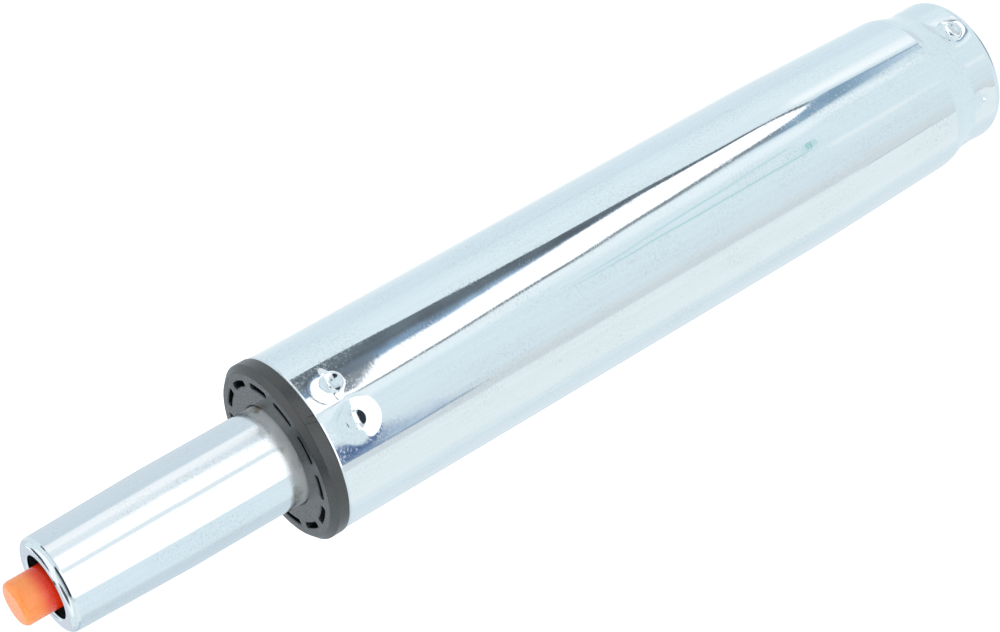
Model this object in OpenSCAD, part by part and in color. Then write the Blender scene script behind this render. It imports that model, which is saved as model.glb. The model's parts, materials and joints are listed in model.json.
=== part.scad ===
// Gas lift cylinder of a swivel chair: an outer column, and a lockable gas spring that slides and swivels in it.
// Millimetres. The column stands upright on its foot, +Z points up to the release button.

/* [Column] */
// Outer diameter of the column
column_d = 50; // [44:0.5:60]
// Wall of the column
column_wall = 1.5; // [1.2:0.1:2.2]
// Length of the column's steel tube
column_len = 236.6; // [215:0.2:300]
// Length of the tapered seat that the chair's base grips
base_cone_len = 46; // [35:1:60]
// Diameter that both tapered seats lose over each millimetre of length
cone_taper = 0.05; // [0.04:0.002:0.06]
// Diameter of the drawn-in foot
foot_d = 43.4; // [42:0.2:46]
// Height of the foot's straight wall
foot_h = 11; // [9.5:0.5:16]
// Height over which the foot widens to the tapered seat
neck_h = 10; // [6:0.5:16]
// Rounding where the foot turns in
foot_round = 2.5; // [2:0.1:3.5]
// Opening in the turned-in foot
foot_opening_d = 32; // [28:0.5:34]

/* [Crimps] */
// Pairs of crimps that hold the guide bushing
bushing_crimp_pairs = 3; // [2:1:4]
// Angle between the two crimps of a pair
bushing_crimp_spread = 26; // [22:1:34]
// Distance of the bushing crimps below the column's rim
bushing_crimp_drop = 9.1; // [8:0.1:14]
// Radius of the punch that made the bushing crimps
bushing_punch_r = 7; // [5:0.5:8]
// Crimps that hold the base plate
plate_crimps = 6; // [4:1:8]
// Angle by which the plate crimps are turned from the first bushing pair
plate_crimp_turn = 17.5; // [0:0.5:60]
// Radius of the punch that made the plate crimps
plate_punch_r = 5; // [4:0.5:6]
// Depth of every crimp
crimp_depth = 1; // [0.6:0.1:1.2]

/* [Gas spring tube] */
// Outer diameter of the gas spring's tube
tube_d = 28; // [26:0.5:30]
// Wall of the gas spring's tube
tube_wall = 1.5; // [1.2:0.1:1.8]
// Height of the tube's tip above the collar, pushed in
tube_out = 68.4; // [55:0.2:90]
// Length of the tapered seat that the seat mechanism grips
tip_cone_len = 35; // [28:1:45]
// Rounding where the tip turns in
tip_round = 2; // [1.8:0.1:2.6]
// Opening in the tip, round the button
tip_opening_d = 17.7; // [15:0.1:19]
// Rounding where the lower end turns in
tail_round = 2.2; // [1.9:0.1:2.8]
// Opening in the lower end, round the rod
tail_opening_d = 18; // [14:0.5:19]
// Travel of the tube on the rod
stroke = 120; // [90:1:130]

/* [Guide bushing] */
// Height of the collar's upright rim
collar_rim_h = 3.4; // [2.4:0.1:5]
// Height of the bevel above the rim
collar_bevel_h = 1.6; // [0.8:0.1:2.4]
// Width of the bevel
collar_bevel_w = 1.7; // [0.8:0.1:2.2]
// Overhang of the collar past the column
collar_over = 0.3; // [0.1:0.05:1]
// Number of cored pockets, each with one slot in the collar
pockets = 12; // [8:1:16]
// Radius of the middle of the slots
slot_mid_r = 20.5; // [19.8:0.1:20.8]
// Width of the slots
slot_w = 1.7; // [1.2:0.1:2.2]
// Share of its pocket's pitch that a slot covers
slot_share = 0.73; // [0.55:0.01:0.8]
// Thickness of the collar's deck over the pockets
deck_h = 6; // [3:0.5:9]
// Wall of the bushing's inner sleeve
sleeve_wall = 3; // [2:0.1:3.5]
// Width of the ribs between the pockets
rib_w = 1.6; // [1:0.1:2.4]
// Distance by which a pocket reaches out past its slot
pocket_lip = 0.25; // [0.1:0.05:0.4]
// Countersink at the collar's bore
mouth_w = 1.3; // [0.6:0.1:2]

/* [Base plate and thrust bearing] */
// Thickness of the base plate
plate_h = 11.5; // [10.5:0.1:14]
// Diameter of the recess under the base plate
recess_d = 27; // [25:0.5:30]
// Depth of the recess under the base plate
recess_depth = 6.4; // [6:0.1:7]
// Depth of the seat that centres the lower race
race_seat = 1; // [0.5:0.1:1.4]
// Outer diameter of the races
race_d = 28; // [26:0.5:30]
// Thickness of each race
race_h = 2.5; // [2.2:0.1:3]
// Diameter of the circle on which the balls run
ball_circle_d = 19.2; // [18.6:0.1:20.2]
// Diameter of the balls
ball_d = 4.76; // [4.4:0.02:4.9]
// Number of balls
balls = 10; // [7:1:10]
// Gap between the two races
race_gap = 3; // [2.6:0.1:3.4]
// Thickness of the ball cage
cage_h = 1.6; // [1:0.1:2]
// Radial width of the ball cage
cage_w = 5.6; // [5.2:0.1:6]

/* [Rod] */
// Diameter of the piston rod
rod_d = 10; // [9:0.5:11]
// Diameter of the rod's lower end
rod_tail_d = 8; // [6.5:0.5:8.5]
// Length of the rod below its clip groove
rod_tip = 2.4; // [1.5:0.1:3]
// Depth of the clip groove
clip_groove = 0.9; // [0.5:0.1:1.2]
// Thickness of the retaining clip
clip_h = 1.2; // [0.8:0.1:1.4]
// Outer diameter of the retaining clip
clip_d = 14; // [12:0.5:16]
// Thickness of the washer above the clip
clip_washer_h = 1.5; // [1:0.1:1.8]
// Outer diameter of the washer above the clip
clip_washer_d = 22; // [18:0.5:24]
// Thickness of the washer under the buffer
buffer_seat_h = 1.5; // [1:0.1:2.5]
// Outer diameter of the rubber buffer
buffer_d = 25; // [21:0.5:30]
// Height of the rubber buffer
buffer_h = 12.1; // [8:0.1:20]

/* [Piston] */
// Height of the piston
piston_h = 12; // [9:0.5:16]
// Thickness of the piston ring's cord
piston_ring_w = 2.4; // [1.8:0.1:3]
// Diameter of the rod's upper stud
stud_d = 6; // [5:0.5:7]
// Thickness of the washer on the piston
piston_washer_h = 1.5; // [1:0.1:2.5]
// Height of the piston nut
nut_h = 5; // [4:0.1:7]
// Width across the flats of the piston nut
nut_flats = 10; // [9.5:0.1:13]

/* [Gas spring inside] */
// Bore of the inner cylinder
cylinder_bore = 20; // [18:0.2:20.6]
// Wall of the inner cylinder
cylinder_wall = 1; // [0.7:0.1:1.2]
// Thickness of the washer at the tube's lower end
end_washer_h = 2; // [1.2:0.1:3]
// Height of the rod seal
seal_h = 6; // [4:0.5:9]
// Thickness of the washer above the rod seal
seal_washer_h = 2.5; // [1.5:0.1:4]
// Height of the rod guide below the inner cylinder
guide_h = 10; // [7:0.5:15]
// Height of the rod guide's spigot in the inner cylinder
guide_spigot_h = 6; // [4:0.5:9]
// Height of the stop sleeve that ends the stroke
stop_h = 30; // [22:1:36]
// Wall of the stop sleeve
stop_wall = 3; // [2:0.1:3.6]
// Width of the gas passages in the rod guide
passage_w = 2; // [1.2:0.1:3]

/* [Valve] */
// Diameter of the release button
button_d = 12.2; // [10:0.1:13.4]
// Height of the button's top above the tube's tip
button_out = 9; // [6:0.5:12]
// Travel of the release button
button_travel = 3; // [2:0.1:3.5]
// Rounding of the button's top edge
button_round = 1.6; // [0.8:0.1:2.4]
// Diameter of the valve pin
pin_d = 3; // [2.6:0.1:3.4]
// Depth to which the pin enters the button
pin_in_button = 6; // [4:0.5:8]
// Height of the ring between the valve cap and the tip
tip_ring_h = 5.5; // [5:0.1:8]
// Thickness of the valve cap
valve_cap_h = 3; // [2:0.1:4]
// Height of the valve body
valve_h = 42; // [40:1:48]
// Height of the valve body's spigot in the inner cylinder
valve_spigot_h = 10; // [8:0.5:12]
// Height of the valve body's neck, where its gas port opens
valve_neck_h = 9; // [7:0.5:11]
// Diameter of the gas port
port_d = 3; // [2:0.1:4]
// Diameter of the chamber round the pin
chamber_d = 6.4; // [5.8:0.1:7]
// Height of the valve seat under the chamber
valve_seat_h = 4; // [3:0.5:5]
// Diameter of the pin's head
pin_head_d = 6; // [5.5:0.1:7]
// Height of the pin's head
pin_head_h = 4; // [3:0.5:5]
// Thickness of the cord of the valve's rings
valve_ring_w = 2; // [1.6:0.1:2.4]

/* [Fits] */
// Clearance on the radius between the tube and its bushing
slide_fit = 0.05; // [0.02:0.01:0.1]
// Clearance on the radius where the rod and the pin turn or slide
rod_fit = 0.08; // [0.03:0.01:0.1]
// Clearance on the radius between pieces that are fixed together
seat_fit = 0.1; // [0.05:0.01:0.15]
// Gap between faces that turn on each other
face_gap = 0.05; // [0.03:0.01:0.15]
// Gap between the balls and their races
roll_gap = 0.08; // [0.04:0.01:0.12]
// Gap between the tube and the rubber buffer, pushed in
bump_gap = 0.35; // [0.2:0.05:1]

/* [Hidden] */
$fn = 96;
// Steps of a quarter-round and of the neck's curve
round_steps = 6;
neck_steps = 10;
// Overshoot of every cut past the face that it opens
cut = 1;
// Direction that the first pair of bushing crimps faces: the front, along -Y
front = -90;

// Radii of the column and of its foot, and the heights where its shape changes
column_r = column_d / 2;
foot_r = foot_d / 2;
cone_z = foot_h + neck_h;
cone_top_z = cone_z + base_cone_len;
cone_small_r = column_r - base_cone_len * cone_taper / 2;

// Base plate, on the turned-in foot; its crimps and its groove lie at mid height of its edge
plate_z = column_wall + face_gap;
plate_top_z = plate_z + plate_h;
plate_r = foot_r - column_wall - seat_fit;
plate_crimp_z = plate_z + plate_h / 2 + 0.6;
recess_top_z = plate_z + recess_depth;

// Thrust bearing, from the lower race up
race_z = plate_top_z - race_seat;
ball_r = ball_d / 2;
ball_circle_r = ball_circle_d / 2;
ball_z = race_z + race_h + race_gap / 2;
upper_race_z = ball_z + race_gap / 2;
groove_r = ball_r + roll_gap;

// Rod: its tail runs through the bearing and the plate, and its shoulder stands on the buffer's washer
rod_r = rod_d / 2;
rod_tail_r = rod_tail_d / 2;
buffer_seat_z = upper_race_z + race_h;
shoulder_z = buffer_seat_z + buffer_seat_h;
buffer_top_z = shoulder_z + buffer_h;
clip_washer_z = recess_top_z - face_gap - clip_washer_h;
clip_z = clip_washer_z - face_gap - clip_h;
rod_bottom_z = clip_z - rod_tip;

// Collar of the guide bushing, over the column's rim
collar_z = column_len;
collar_r = column_r + collar_over;
collar_face_z = collar_z + collar_rim_h + collar_bevel_h;

// Gas spring's tube, pushed in until it all but meets the buffer
tube_r = tube_d / 2;
tube_bore_r = tube_r - tube_wall;
tube_z = buffer_top_z + bump_gap;
tip_z = collar_face_z + tube_out;
tip_cone_z = tip_z - tip_cone_len;

// Stack at the tube's lower end, from its turned-in edge up
end_washer_z = tube_z + tube_wall;
seal_z = end_washer_z + end_washer_h;
seal_washer_z = seal_z + seal_h;
guide_z = seal_washer_z + seal_washer_h;
cylinder_z = guide_z + guide_h;
stop_z = cylinder_z + guide_spigot_h;
pack_r = tube_bore_r - seat_fit;
rod_hole_r = rod_r + rod_fit;

// Piston, one stroke above the stop sleeve
cylinder_bore_r = cylinder_bore / 2;
cylinder_r = cylinder_bore_r + cylinder_wall;
piston_r = cylinder_bore_r - rod_fit;
piston_z = stop_z + stop_h + stroke + face_gap;
piston_top_z = piston_z + piston_h;
nut_z = piston_top_z + piston_washer_h;
stud_top_z = nut_z + nut_h + 1.2;

// Bushing: its lower end stays below the tube's lower end at full stroke
bushing_r = column_r - column_wall - seat_fit;
bushing_bore_r = tube_r + slide_fit;
bushing_z = tube_z + stroke + 2;
pocket_in_r = bushing_bore_r + sleeve_wall;
pocket_out_r = slot_mid_r + slot_w / 2 + pocket_lip;
bushing_crimp_z = column_len - bushing_crimp_drop;

// Valve, from the tip down
tip_ring_z = tip_z - tube_wall - tip_ring_h;
valve_cap_z = tip_ring_z - valve_cap_h;
valve_z = valve_cap_z - valve_h;
valve_shoulder_z = valve_z + valve_spigot_h;
valve_neck_r = cylinder_r + 0.3;
valve_wide_z = valve_shoulder_z + valve_neck_h;
port_z = valve_shoulder_z + valve_neck_h / 2;
chamber_r = chamber_d / 2;
chamber_z = valve_z + valve_seat_h;
pin_r = pin_d / 2;
pin_hole_r = pin_r + rod_fit;
pin_seal_w = chamber_r - pin_hole_r;
chamber_top_z = valve_wide_z + 3;
pin_seal_z = chamber_top_z - pin_seal_w / 2;
seal_retainer_h = 2.4;
valve_seat_r = pin_r + 0.9;
valve_low_ring_z = valve_z + valve_spigot_h / 2;
valve_top_ring_z = valve_wide_z + 8;

// Release button, with room under it for its travel
button_r = button_d / 2;
button_top_z = tip_z + button_out;
button_z = valve_cap_z + valve_cap_h + button_travel + 0.5;
pin_top_z = button_z + pin_in_button;

// Points of an arc round [x, y], from angle a to angle b
function arc(x, y, r, a, b) =
    [for (i = [0:round_steps]) let (t = a + (b - a) * i / round_steps) [x + r * cos(t), y + r * sin(t)]];

// Outer radius of the column at height z, above the foot's rounding
function column_r_at(z) =
    z <= foot_h ? foot_r
    : z < cone_z ? foot_r + (cone_small_r - foot_r) * (1 - cos(180 * (z - foot_h) / neck_h)) / 2
    : z < cone_top_z ? cone_small_r + (z - cone_z) * cone_taper / 2
    : column_r;

// Outer radius of the gas spring's tube at height z, below the tip's rounding
function tube_r_at(z) = tube_r - max(0, z - tip_cone_z) * cone_taper / 2;

// Radius of a piece that fits inside the gas spring's tube at height z
function core_r_at(z) = tube_r_at(z) - tube_wall - seat_fit;

// Solid ring from inner radius a to outer radius b, standing on height z
module ring(a, b, z, h) {
    translate([0, 0, z])
        difference() {
            cylinder(r = b, h = h);
            translate([0, 0, -cut]) cylinder(r = a, h = h + 2 * cut);
        }
}

// Ring of round section: mean radius r, section radius s, at height z
module cord_ring(r, s, z) {
    translate([0, 0, z])
        rotate_extrude()
            translate([r, 0]) circle(r = s, $fn = 32);
}

// Ball of the punch that made a crimp in a wall of radius r, with its wall grown by w
module punch(r, punch_r, z, w) {
    translate([r + punch_r - crimp_depth, 0, z]) sphere(r = punch_r + w, $fn = 48);
}

// Both rows of crimps: punches grown by w, at their places round the column
module crimps(w) {
    for (i = [0:bushing_crimp_pairs - 1], side = [-0.5, 0.5])
        rotate([0, 0, front + i * 360 / bushing_crimp_pairs + side * bushing_crimp_spread])
            punch(column_r, bushing_punch_r, bushing_crimp_z, w);
    for (i = [0:plate_crimps - 1])
        rotate([0, 0, front + plate_crimp_turn + i * 360 / plate_crimps])
            punch(foot_r, plate_punch_r, plate_crimp_z, w);
}

// Section of the column's wall, set in by w: the outside for w = 0, the inside for the wall's thickness
function column_line(w) = concat(
    [[foot_opening_d / 2, w]],
    arc(foot_r - foot_round, foot_round, foot_round - w, -90, 0),
    [for (i = [0:neck_steps]) let (z = foot_h + neck_h * i / neck_steps) [column_r_at(z) - w, z]],
    [[column_r - w, cone_top_z], [column_r - w, column_len]]
);

function reversed(list) = [for (i = [len(list) - 1:-1:0]) list[i]];

// Steel tube of the column, with its crimps punched through to small bumps inside
module outer_column() {
    color("#dfe9ef")
        difference() {
            union() {
                rotate_extrude() polygon(concat(column_line(0), reversed(column_line(column_wall))));
                intersection() {
                    crimps(column_wall);
                    union() {
                        cylinder(r = foot_r - column_wall / 2, h = foot_h);
                        translate([0, 0, cone_top_z])
                            cylinder(r = column_r - column_wall / 2, h = column_len - cone_top_z);
                    }
                }
            }
            crimps(0);
        }
}

// Half-height of the bump that a crimp leaves on the inside of a wall
function bump_h(punch_r) = sqrt(pow(punch_r + column_wall, 2) - pow(punch_r + column_wall - crimp_depth, 2));

// Groove round a piece of radius r, at height z, that the bumps of the crimps lie in
module crimp_groove(r, punch_r, z) {
    half = bump_h(punch_r) + 0.4;
    ring(r - crimp_depth - 0.2, r + cut, z - half, 2 * half);
}

// Plastic bushing: collar, inner sleeve that guides the tube, outer sleeve in the column, ribs between
module guide_bushing() {
    pitch = 360 / pockets;
    color("#4a4f55")
        difference() {
            rotate_extrude()
                polygon([
                    [bushing_bore_r, bushing_z],
                    [bushing_r, bushing_z],
                    [bushing_r, collar_z],
                    [collar_r, collar_z],
                    [collar_r, collar_z + collar_rim_h],
                    [collar_r - collar_bevel_w, collar_face_z],
                    [bushing_bore_r + mouth_w, collar_face_z],
                    [bushing_bore_r, collar_face_z - mouth_w]
                ]);
            difference() {
                ring(pocket_in_r, pocket_out_r, bushing_z - cut, collar_face_z - deck_h - bushing_z + cut);
                for (i = [0:pockets - 1])
                    rotate([0, 0, front + i * pitch])
                        translate([pocket_in_r - cut, -rib_w / 2, bushing_z - 2 * cut])
                            cube([pocket_out_r - pocket_in_r + 2 * cut, rib_w, collar_face_z]);
            }
            for (i = [0:pockets - 1])
                rotate([0, 0, front + (i + 0.5 - slot_share / 2) * pitch])
                    translate([0, 0, collar_face_z - deck_h - cut])
                        rotate_extrude(angle = slot_share * pitch)
                            translate([slot_mid_r - slot_w / 2, 0]) square([slot_w, deck_h + 2 * cut]);
            crimp_groove(bushing_r, bushing_punch_r, bushing_crimp_z);
        }
}

// Steel plate in the foot: it carries the thrust bearing, and the rod hangs in its recess by the clip
module base_plate() {
    chamfer = foot_round - column_wall + 0.4;
    color("#9aa0a6")
        difference() {
            rotate_extrude()
                polygon([
                    [0, plate_z],
                    [plate_r - chamfer, plate_z],
                    [plate_r, plate_z + chamfer],
                    [plate_r, plate_top_z],
                    [0, plate_top_z]
                ]);
            crimp_groove(plate_r, plate_punch_r, plate_crimp_z);
            translate([0, 0, plate_z - cut]) cylinder(d = recess_d, h = recess_depth + cut);
            translate([0, 0, race_z]) cylinder(r = race_d / 2 + seat_fit, h = race_seat + cut);
            translate([0, 0, plate_z]) cylinder(r = rod_tail_r + rod_fit, h = plate_h);
        }
}

// Washer of the thrust bearing, with its ball track, standing on height z
module race(bore_r, z) {
    difference() {
        ring(bore_r, race_d / 2, z, race_h);
        cord_ring(ball_circle_r, groove_r, ball_z);
    }
}

module lower_race() {
    color("#b4b9be") race(rod_tail_r + rod_fit, race_z);
}

module upper_race() {
    color("#b4b9be") race(rod_tail_r + seat_fit, upper_race_z);
}

// Row of balls, grown by w, for the bearing and for the pockets of its cage
module ball_row(w) {
    for (i = [0:balls - 1])
        rotate([0, 0, i * 360 / balls])
            translate([ball_circle_r, 0, ball_z]) sphere(r = ball_r + w, $fn = 32);
}

module ball_cage() {
    color("#d9d3c2")
        difference() {
            ring(ball_circle_r - cage_w / 2, ball_circle_r + cage_w / 2, ball_z - cage_h / 2, cage_h);
            ball_row(roll_gap);
        }
}

module bearing_balls() {
    color("#d5d9dd") ball_row(0);
}

// Rod with its tail, clip groove, shoulder and upper stud
module piston_rod() {
    bevel = 0.6;
    color("#d0d6da")
        rotate_extrude()
            polygon([
                [0, rod_bottom_z],
                [rod_tail_r - bevel, rod_bottom_z],
                [rod_tail_r, rod_bottom_z + bevel],
                [rod_tail_r, clip_z - face_gap],
                [rod_tail_r - clip_groove, clip_z - face_gap],
                [rod_tail_r - clip_groove, clip_z + clip_h + face_gap],
                [rod_tail_r, clip_z + clip_h + face_gap],
                [rod_tail_r, shoulder_z],
                [rod_r, shoulder_z],
                [rod_r, piston_z],
                [stud_d / 2, piston_z],
                [stud_d / 2, stud_top_z],
                [0, stud_top_z]
            ]);
}

module buffer_seat() {
    color("#a4aab0") ring(rod_tail_r + seat_fit, buffer_d / 2 + 1, buffer_seat_z, buffer_seat_h);
}

// Rubber ring that softens the end of the way down
module rubber_buffer() {
    edge = 1.5;
    color("#26282a")
        rotate_extrude()
            polygon(concat(
                [[rod_r + seat_fit, shoulder_z]],
                arc(buffer_d / 2 - edge, shoulder_z + edge, edge, -90, 0),
                arc(buffer_d / 2 - edge, buffer_top_z - edge, edge, 0, 90),
                [[rod_r + seat_fit, buffer_top_z]]
            ));
}

module clip_washer() {
    color("#a4aab0") ring(rod_tail_r + seat_fit, clip_washer_d / 2, clip_washer_z, clip_washer_h);
}

// Clip pushed into the rod's groove from one side
module retaining_clip() {
    grip_r = rod_tail_r - clip_groove + face_gap;
    color("#7d8288")
        difference() {
            ring(grip_r, clip_d / 2, clip_z, clip_h);
            translate([0, -grip_r * 0.8, clip_z - cut]) cube([clip_d, grip_r * 1.6, clip_h + 2 * cut]);
            for (side = [-1, 1])
                rotate([0, 0, side * 115])
                    translate([grip_r + 0.6, 0, clip_z - cut]) cylinder(r = 1, h = clip_h + 2 * cut);
        }
}

// Piston with the groove of its ring
module piston() {
    ring_z = piston_z + piston_h / 2;
    color("#b9bdc1")
        difference() {
            ring(stud_d / 2 + seat_fit, piston_r, piston_z, piston_h);
            ring(piston_r - piston_ring_w, piston_r + cut, ring_z - piston_ring_w / 2, piston_ring_w);
        }
}

module piston_ring() {
    color("#202224") cord_ring(piston_r - piston_ring_w / 2, piston_ring_w / 2 - face_gap, piston_z + piston_h / 2);
}

module piston_washer() {
    color("#a4aab0") ring(stud_d / 2 + seat_fit, cylinder_bore_r - 3, piston_top_z, piston_washer_h);
}

module piston_nut() {
    color("#8d9298")
        translate([0, 0, nut_z])
            difference() {
                cylinder(d = nut_flats / cos(30), h = nut_h, $fn = 6);
                translate([0, 0, -cut]) cylinder(r = stud_d / 2 + seat_fit, h = nut_h + 2 * cut);
            }
}

// Section of the gas spring's tube, set in by w, from its turned-in lower edge to its turned-in tip
function tube_line(w) =
    let (tip_arc_r = tube_r_at(tip_z - tip_round) - tip_round)
    concat(
        [[tail_opening_d / 2, tube_z + w]],
        arc(tube_r - tail_round, tube_z + tail_round, tail_round - w, -90, 0),
        [[tube_r - w, tip_cone_z]],
        arc(tip_arc_r, tip_z - tip_round, tip_round - w, 0, 90),
        [[tip_opening_d / 2, tip_z - w]]
    );

module spring_tube() {
    color("#e6eff4")
        rotate_extrude() polygon(concat(tube_line(0), reversed(tube_line(tube_wall))));
}

// Lowest piece of the stack: its edge clears the rounding of the tube's lower end
module end_washer() {
    chamfer = tail_round - tube_wall + 0.3;
    color("#a4aab0")
        rotate_extrude()
            polygon([
                [rod_hole_r, end_washer_z],
                [pack_r - chamfer, end_washer_z],
                [pack_r, end_washer_z + chamfer],
                [pack_r, seal_z],
                [rod_hole_r, seal_z]
            ]);
}

// Rubber seal with a hollow behind its lip
module rod_seal() {
    lip = 1.2;
    color("#26282a")
        difference() {
            ring(rod_hole_r, pack_r, seal_z, seal_h);
            translate([0, 0, seal_z + seal_h / 2])
                ring(rod_hole_r + lip, rod_hole_r + 2 * lip, 0, seal_h / 2 + cut);
        }
}

module seal_washer() {
    color("#cfcabd") ring(rod_hole_r, pack_r, seal_washer_z, seal_washer_h);
}

// Guide of the rod: the inner cylinder stands on its step, and gas passes under the cylinder's edge
module rod_guide() {
    passage_in = cylinder_bore_r - 1.6;
    passage_drop = 2.5;
    color("#cfcabd")
        difference() {
            union() {
                ring(rod_hole_r, pack_r, guide_z, guide_h);
                ring(rod_hole_r, cylinder_bore_r - seat_fit, cylinder_z, guide_spigot_h);
            }
            for (i = [0:3])
                rotate([0, 0, 90 * i])
                    translate([passage_in, -passage_w / 2, cylinder_z - passage_drop])
                        cube([tube_r, passage_w, passage_drop + guide_spigot_h + cut]);
        }
}

module stop_sleeve() {
    color("#8e9499") ring(rod_hole_r + 0.3, rod_hole_r + 0.3 + stop_wall, stop_z, stop_h);
}

module inner_cylinder() {
    color("#c2c8cd") ring(cylinder_bore_r, cylinder_r, cylinder_z, valve_shoulder_z - cylinder_z);
}

// Valve body: spigot in the inner cylinder, neck with the gas port, and a head that fills the tapered tube
module valve_body() {
    low_groove_r = cylinder_bore_r - seat_fit - valve_ring_w;
    top_groove_r = core_r_at(valve_top_ring_z) - valve_ring_w;
    color("#b8bdc1")
        difference() {
            rotate_extrude()
                polygon([
                    [0, valve_z],
                    [cylinder_bore_r - seat_fit, valve_z],
                    [cylinder_bore_r - seat_fit, valve_shoulder_z],
                    [valve_neck_r, valve_shoulder_z],
                    [valve_neck_r, valve_wide_z],
                    [core_r_at(valve_wide_z), valve_wide_z],
                    [core_r_at(max(valve_wide_z, tip_cone_z)), max(valve_wide_z, tip_cone_z)],
                    [core_r_at(valve_cap_z), valve_cap_z],
                    [0, valve_cap_z]
                ]);
            ring(low_groove_r, cylinder_r, valve_low_ring_z - valve_ring_w / 2, valve_ring_w);
            ring(top_groove_r, tube_r, valve_top_ring_z - valve_ring_w / 2, valve_ring_w);
            translate([0, 0, valve_z - cut]) cylinder(r = valve_seat_r, h = valve_seat_h + 2 * cut);
            translate([0, 0, chamber_z]) cylinder(r = chamber_r, h = chamber_top_z - chamber_z);
            translate([0, 0, valve_z]) cylinder(r = pin_hole_r, h = valve_h + cut);
            translate([-tube_r, 0, port_z]) rotate([0, 90, 0]) cylinder(d = port_d, h = tube_d);
        }
}

module valve_low_ring() {
    color("#202224")
        cord_ring(cylinder_bore_r - seat_fit - valve_ring_w / 2, valve_ring_w / 2 - face_gap, valve_low_ring_z);
}

module valve_top_ring() {
    color("#202224")
        cord_ring(core_r_at(valve_top_ring_z) - valve_ring_w / 2, valve_ring_w / 2 - face_gap, valve_top_ring_z);
}

module pin_seal() {
    color("#202224")
        cord_ring(pin_hole_r + pin_seal_w / 2, pin_seal_w / 2 - face_gap, pin_seal_z);
}

module seal_retainer() {
    color("#cfcabd")
        ring(pin_hole_r + seat_fit, chamber_r - face_gap, pin_seal_z - pin_seal_w / 2 - seal_retainer_h, seal_retainer_h);
}

// Cap over the valve body, and the ring through which the turned-in tip holds it
module valve_cap() {
    color("#3a3d40")
        difference() {
            translate([0, 0, valve_cap_z])
                cylinder(r1 = core_r_at(valve_cap_z), r2 = core_r_at(tip_ring_z), h = valve_cap_h);
            translate([0, 0, valve_cap_z - cut]) cylinder(r = pin_hole_r, h = valve_cap_h + 2 * cut);
        }
}

module tip_ring() {
    chamfer = tip_round - tube_wall + 0.3;
    ring_top_z = tip_ring_z + tip_ring_h;
    color("#2c2e30")
        rotate_extrude()
            polygon([
                [tip_opening_d / 2, tip_ring_z],
                [core_r_at(tip_ring_z), tip_ring_z],
                [core_r_at(ring_top_z - chamfer), ring_top_z - chamfer],
                [core_r_at(ring_top_z) - chamfer, ring_top_z],
                [tip_opening_d / 2, ring_top_z]
            ]);
}

// Button on the pin's end
module release_button() {
    foot = 0.5;
    color("#f2542a")
        rotate_extrude()
            polygon(concat(
                [[0, pin_top_z], [pin_r + face_gap, pin_top_z], [pin_r + face_gap, button_z]],
                [[button_r - foot, button_z], [button_r, button_z + foot]],
                arc(button_r - button_round, button_top_z - button_round, button_round, 0, 90),
                [[0, button_top_z]]
            ));
}

// Pin whose head closes the valve seat from below
module valve_pin() {
    head_r = pin_head_d / 2;
    color("#c8cdd1")
        rotate_extrude()
            polygon([
                [0, valve_z - pin_head_h],
                [head_r - 1, valve_z - pin_head_h],
                [head_r, valve_z - pin_head_h + 1],
                [head_r, valve_z - face_gap],
                [pin_r, valve_z - face_gap],
                [pin_r, pin_top_z],
                [0, pin_top_z]
            ]);
}

outer_column();
guide_bushing();
base_plate();
lower_race();
ball_cage();
bearing_balls();
piston_rod();
upper_race();
buffer_seat();
rubber_buffer();
clip_washer();
retaining_clip();
piston();
piston_ring();
piston_washer();
piston_nut();
spring_tube();
end_washer();
rod_seal();
seal_washer();
rod_guide();
stop_sleeve();
inner_cylinder();
valve_body();
valve_low_ring();
valve_top_ring();
pin_seal();
seal_retainer();
valve_cap();
tip_ring();
release_button();
valve_pin();
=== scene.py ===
"""Studio picture of a chair gas lift cylinder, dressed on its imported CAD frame.

The chromed column, its plastic collar, the gas spring's tube, the release button and the bearing's balls are
rebuilt here with the soft edges and pressed crimps of the real part. The pieces inside keep their CAD shapes
and get their materials. Sizes are millimetres in the classes and metres in the meshes.
"""

import json
import logging
import math
from collections.abc import Iterable, Sequence
from dataclasses import dataclass
from enum import Enum
from functools import cache

import bmesh
import bpy
from mathutils import Matrix, Vector


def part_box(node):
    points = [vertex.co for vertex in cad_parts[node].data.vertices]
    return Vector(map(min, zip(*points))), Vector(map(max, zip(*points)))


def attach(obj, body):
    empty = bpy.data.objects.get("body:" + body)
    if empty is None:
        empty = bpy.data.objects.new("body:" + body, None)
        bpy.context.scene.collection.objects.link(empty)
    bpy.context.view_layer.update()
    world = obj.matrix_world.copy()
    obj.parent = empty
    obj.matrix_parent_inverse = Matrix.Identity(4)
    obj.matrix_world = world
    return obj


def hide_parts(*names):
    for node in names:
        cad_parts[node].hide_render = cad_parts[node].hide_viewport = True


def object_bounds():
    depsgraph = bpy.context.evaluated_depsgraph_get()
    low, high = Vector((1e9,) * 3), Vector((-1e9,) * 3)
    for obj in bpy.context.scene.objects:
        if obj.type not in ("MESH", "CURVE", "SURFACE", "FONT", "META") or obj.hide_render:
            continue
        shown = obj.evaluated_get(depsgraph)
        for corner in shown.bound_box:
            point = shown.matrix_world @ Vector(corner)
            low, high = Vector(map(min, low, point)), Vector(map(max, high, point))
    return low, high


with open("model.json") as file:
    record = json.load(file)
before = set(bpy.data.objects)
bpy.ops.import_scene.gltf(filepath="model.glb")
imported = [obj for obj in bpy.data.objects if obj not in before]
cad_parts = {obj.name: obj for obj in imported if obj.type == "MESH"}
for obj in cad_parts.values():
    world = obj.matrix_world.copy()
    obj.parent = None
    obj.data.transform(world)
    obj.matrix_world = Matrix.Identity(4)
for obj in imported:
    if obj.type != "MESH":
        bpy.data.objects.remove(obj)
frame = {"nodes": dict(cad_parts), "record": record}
CAD_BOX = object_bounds()

MM = 0.001
# Length in millimetres under which two points are one
TINY = 1e-4
# Faces that meet at more than this share no smooth shading
SHARP = math.radians(38)
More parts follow.
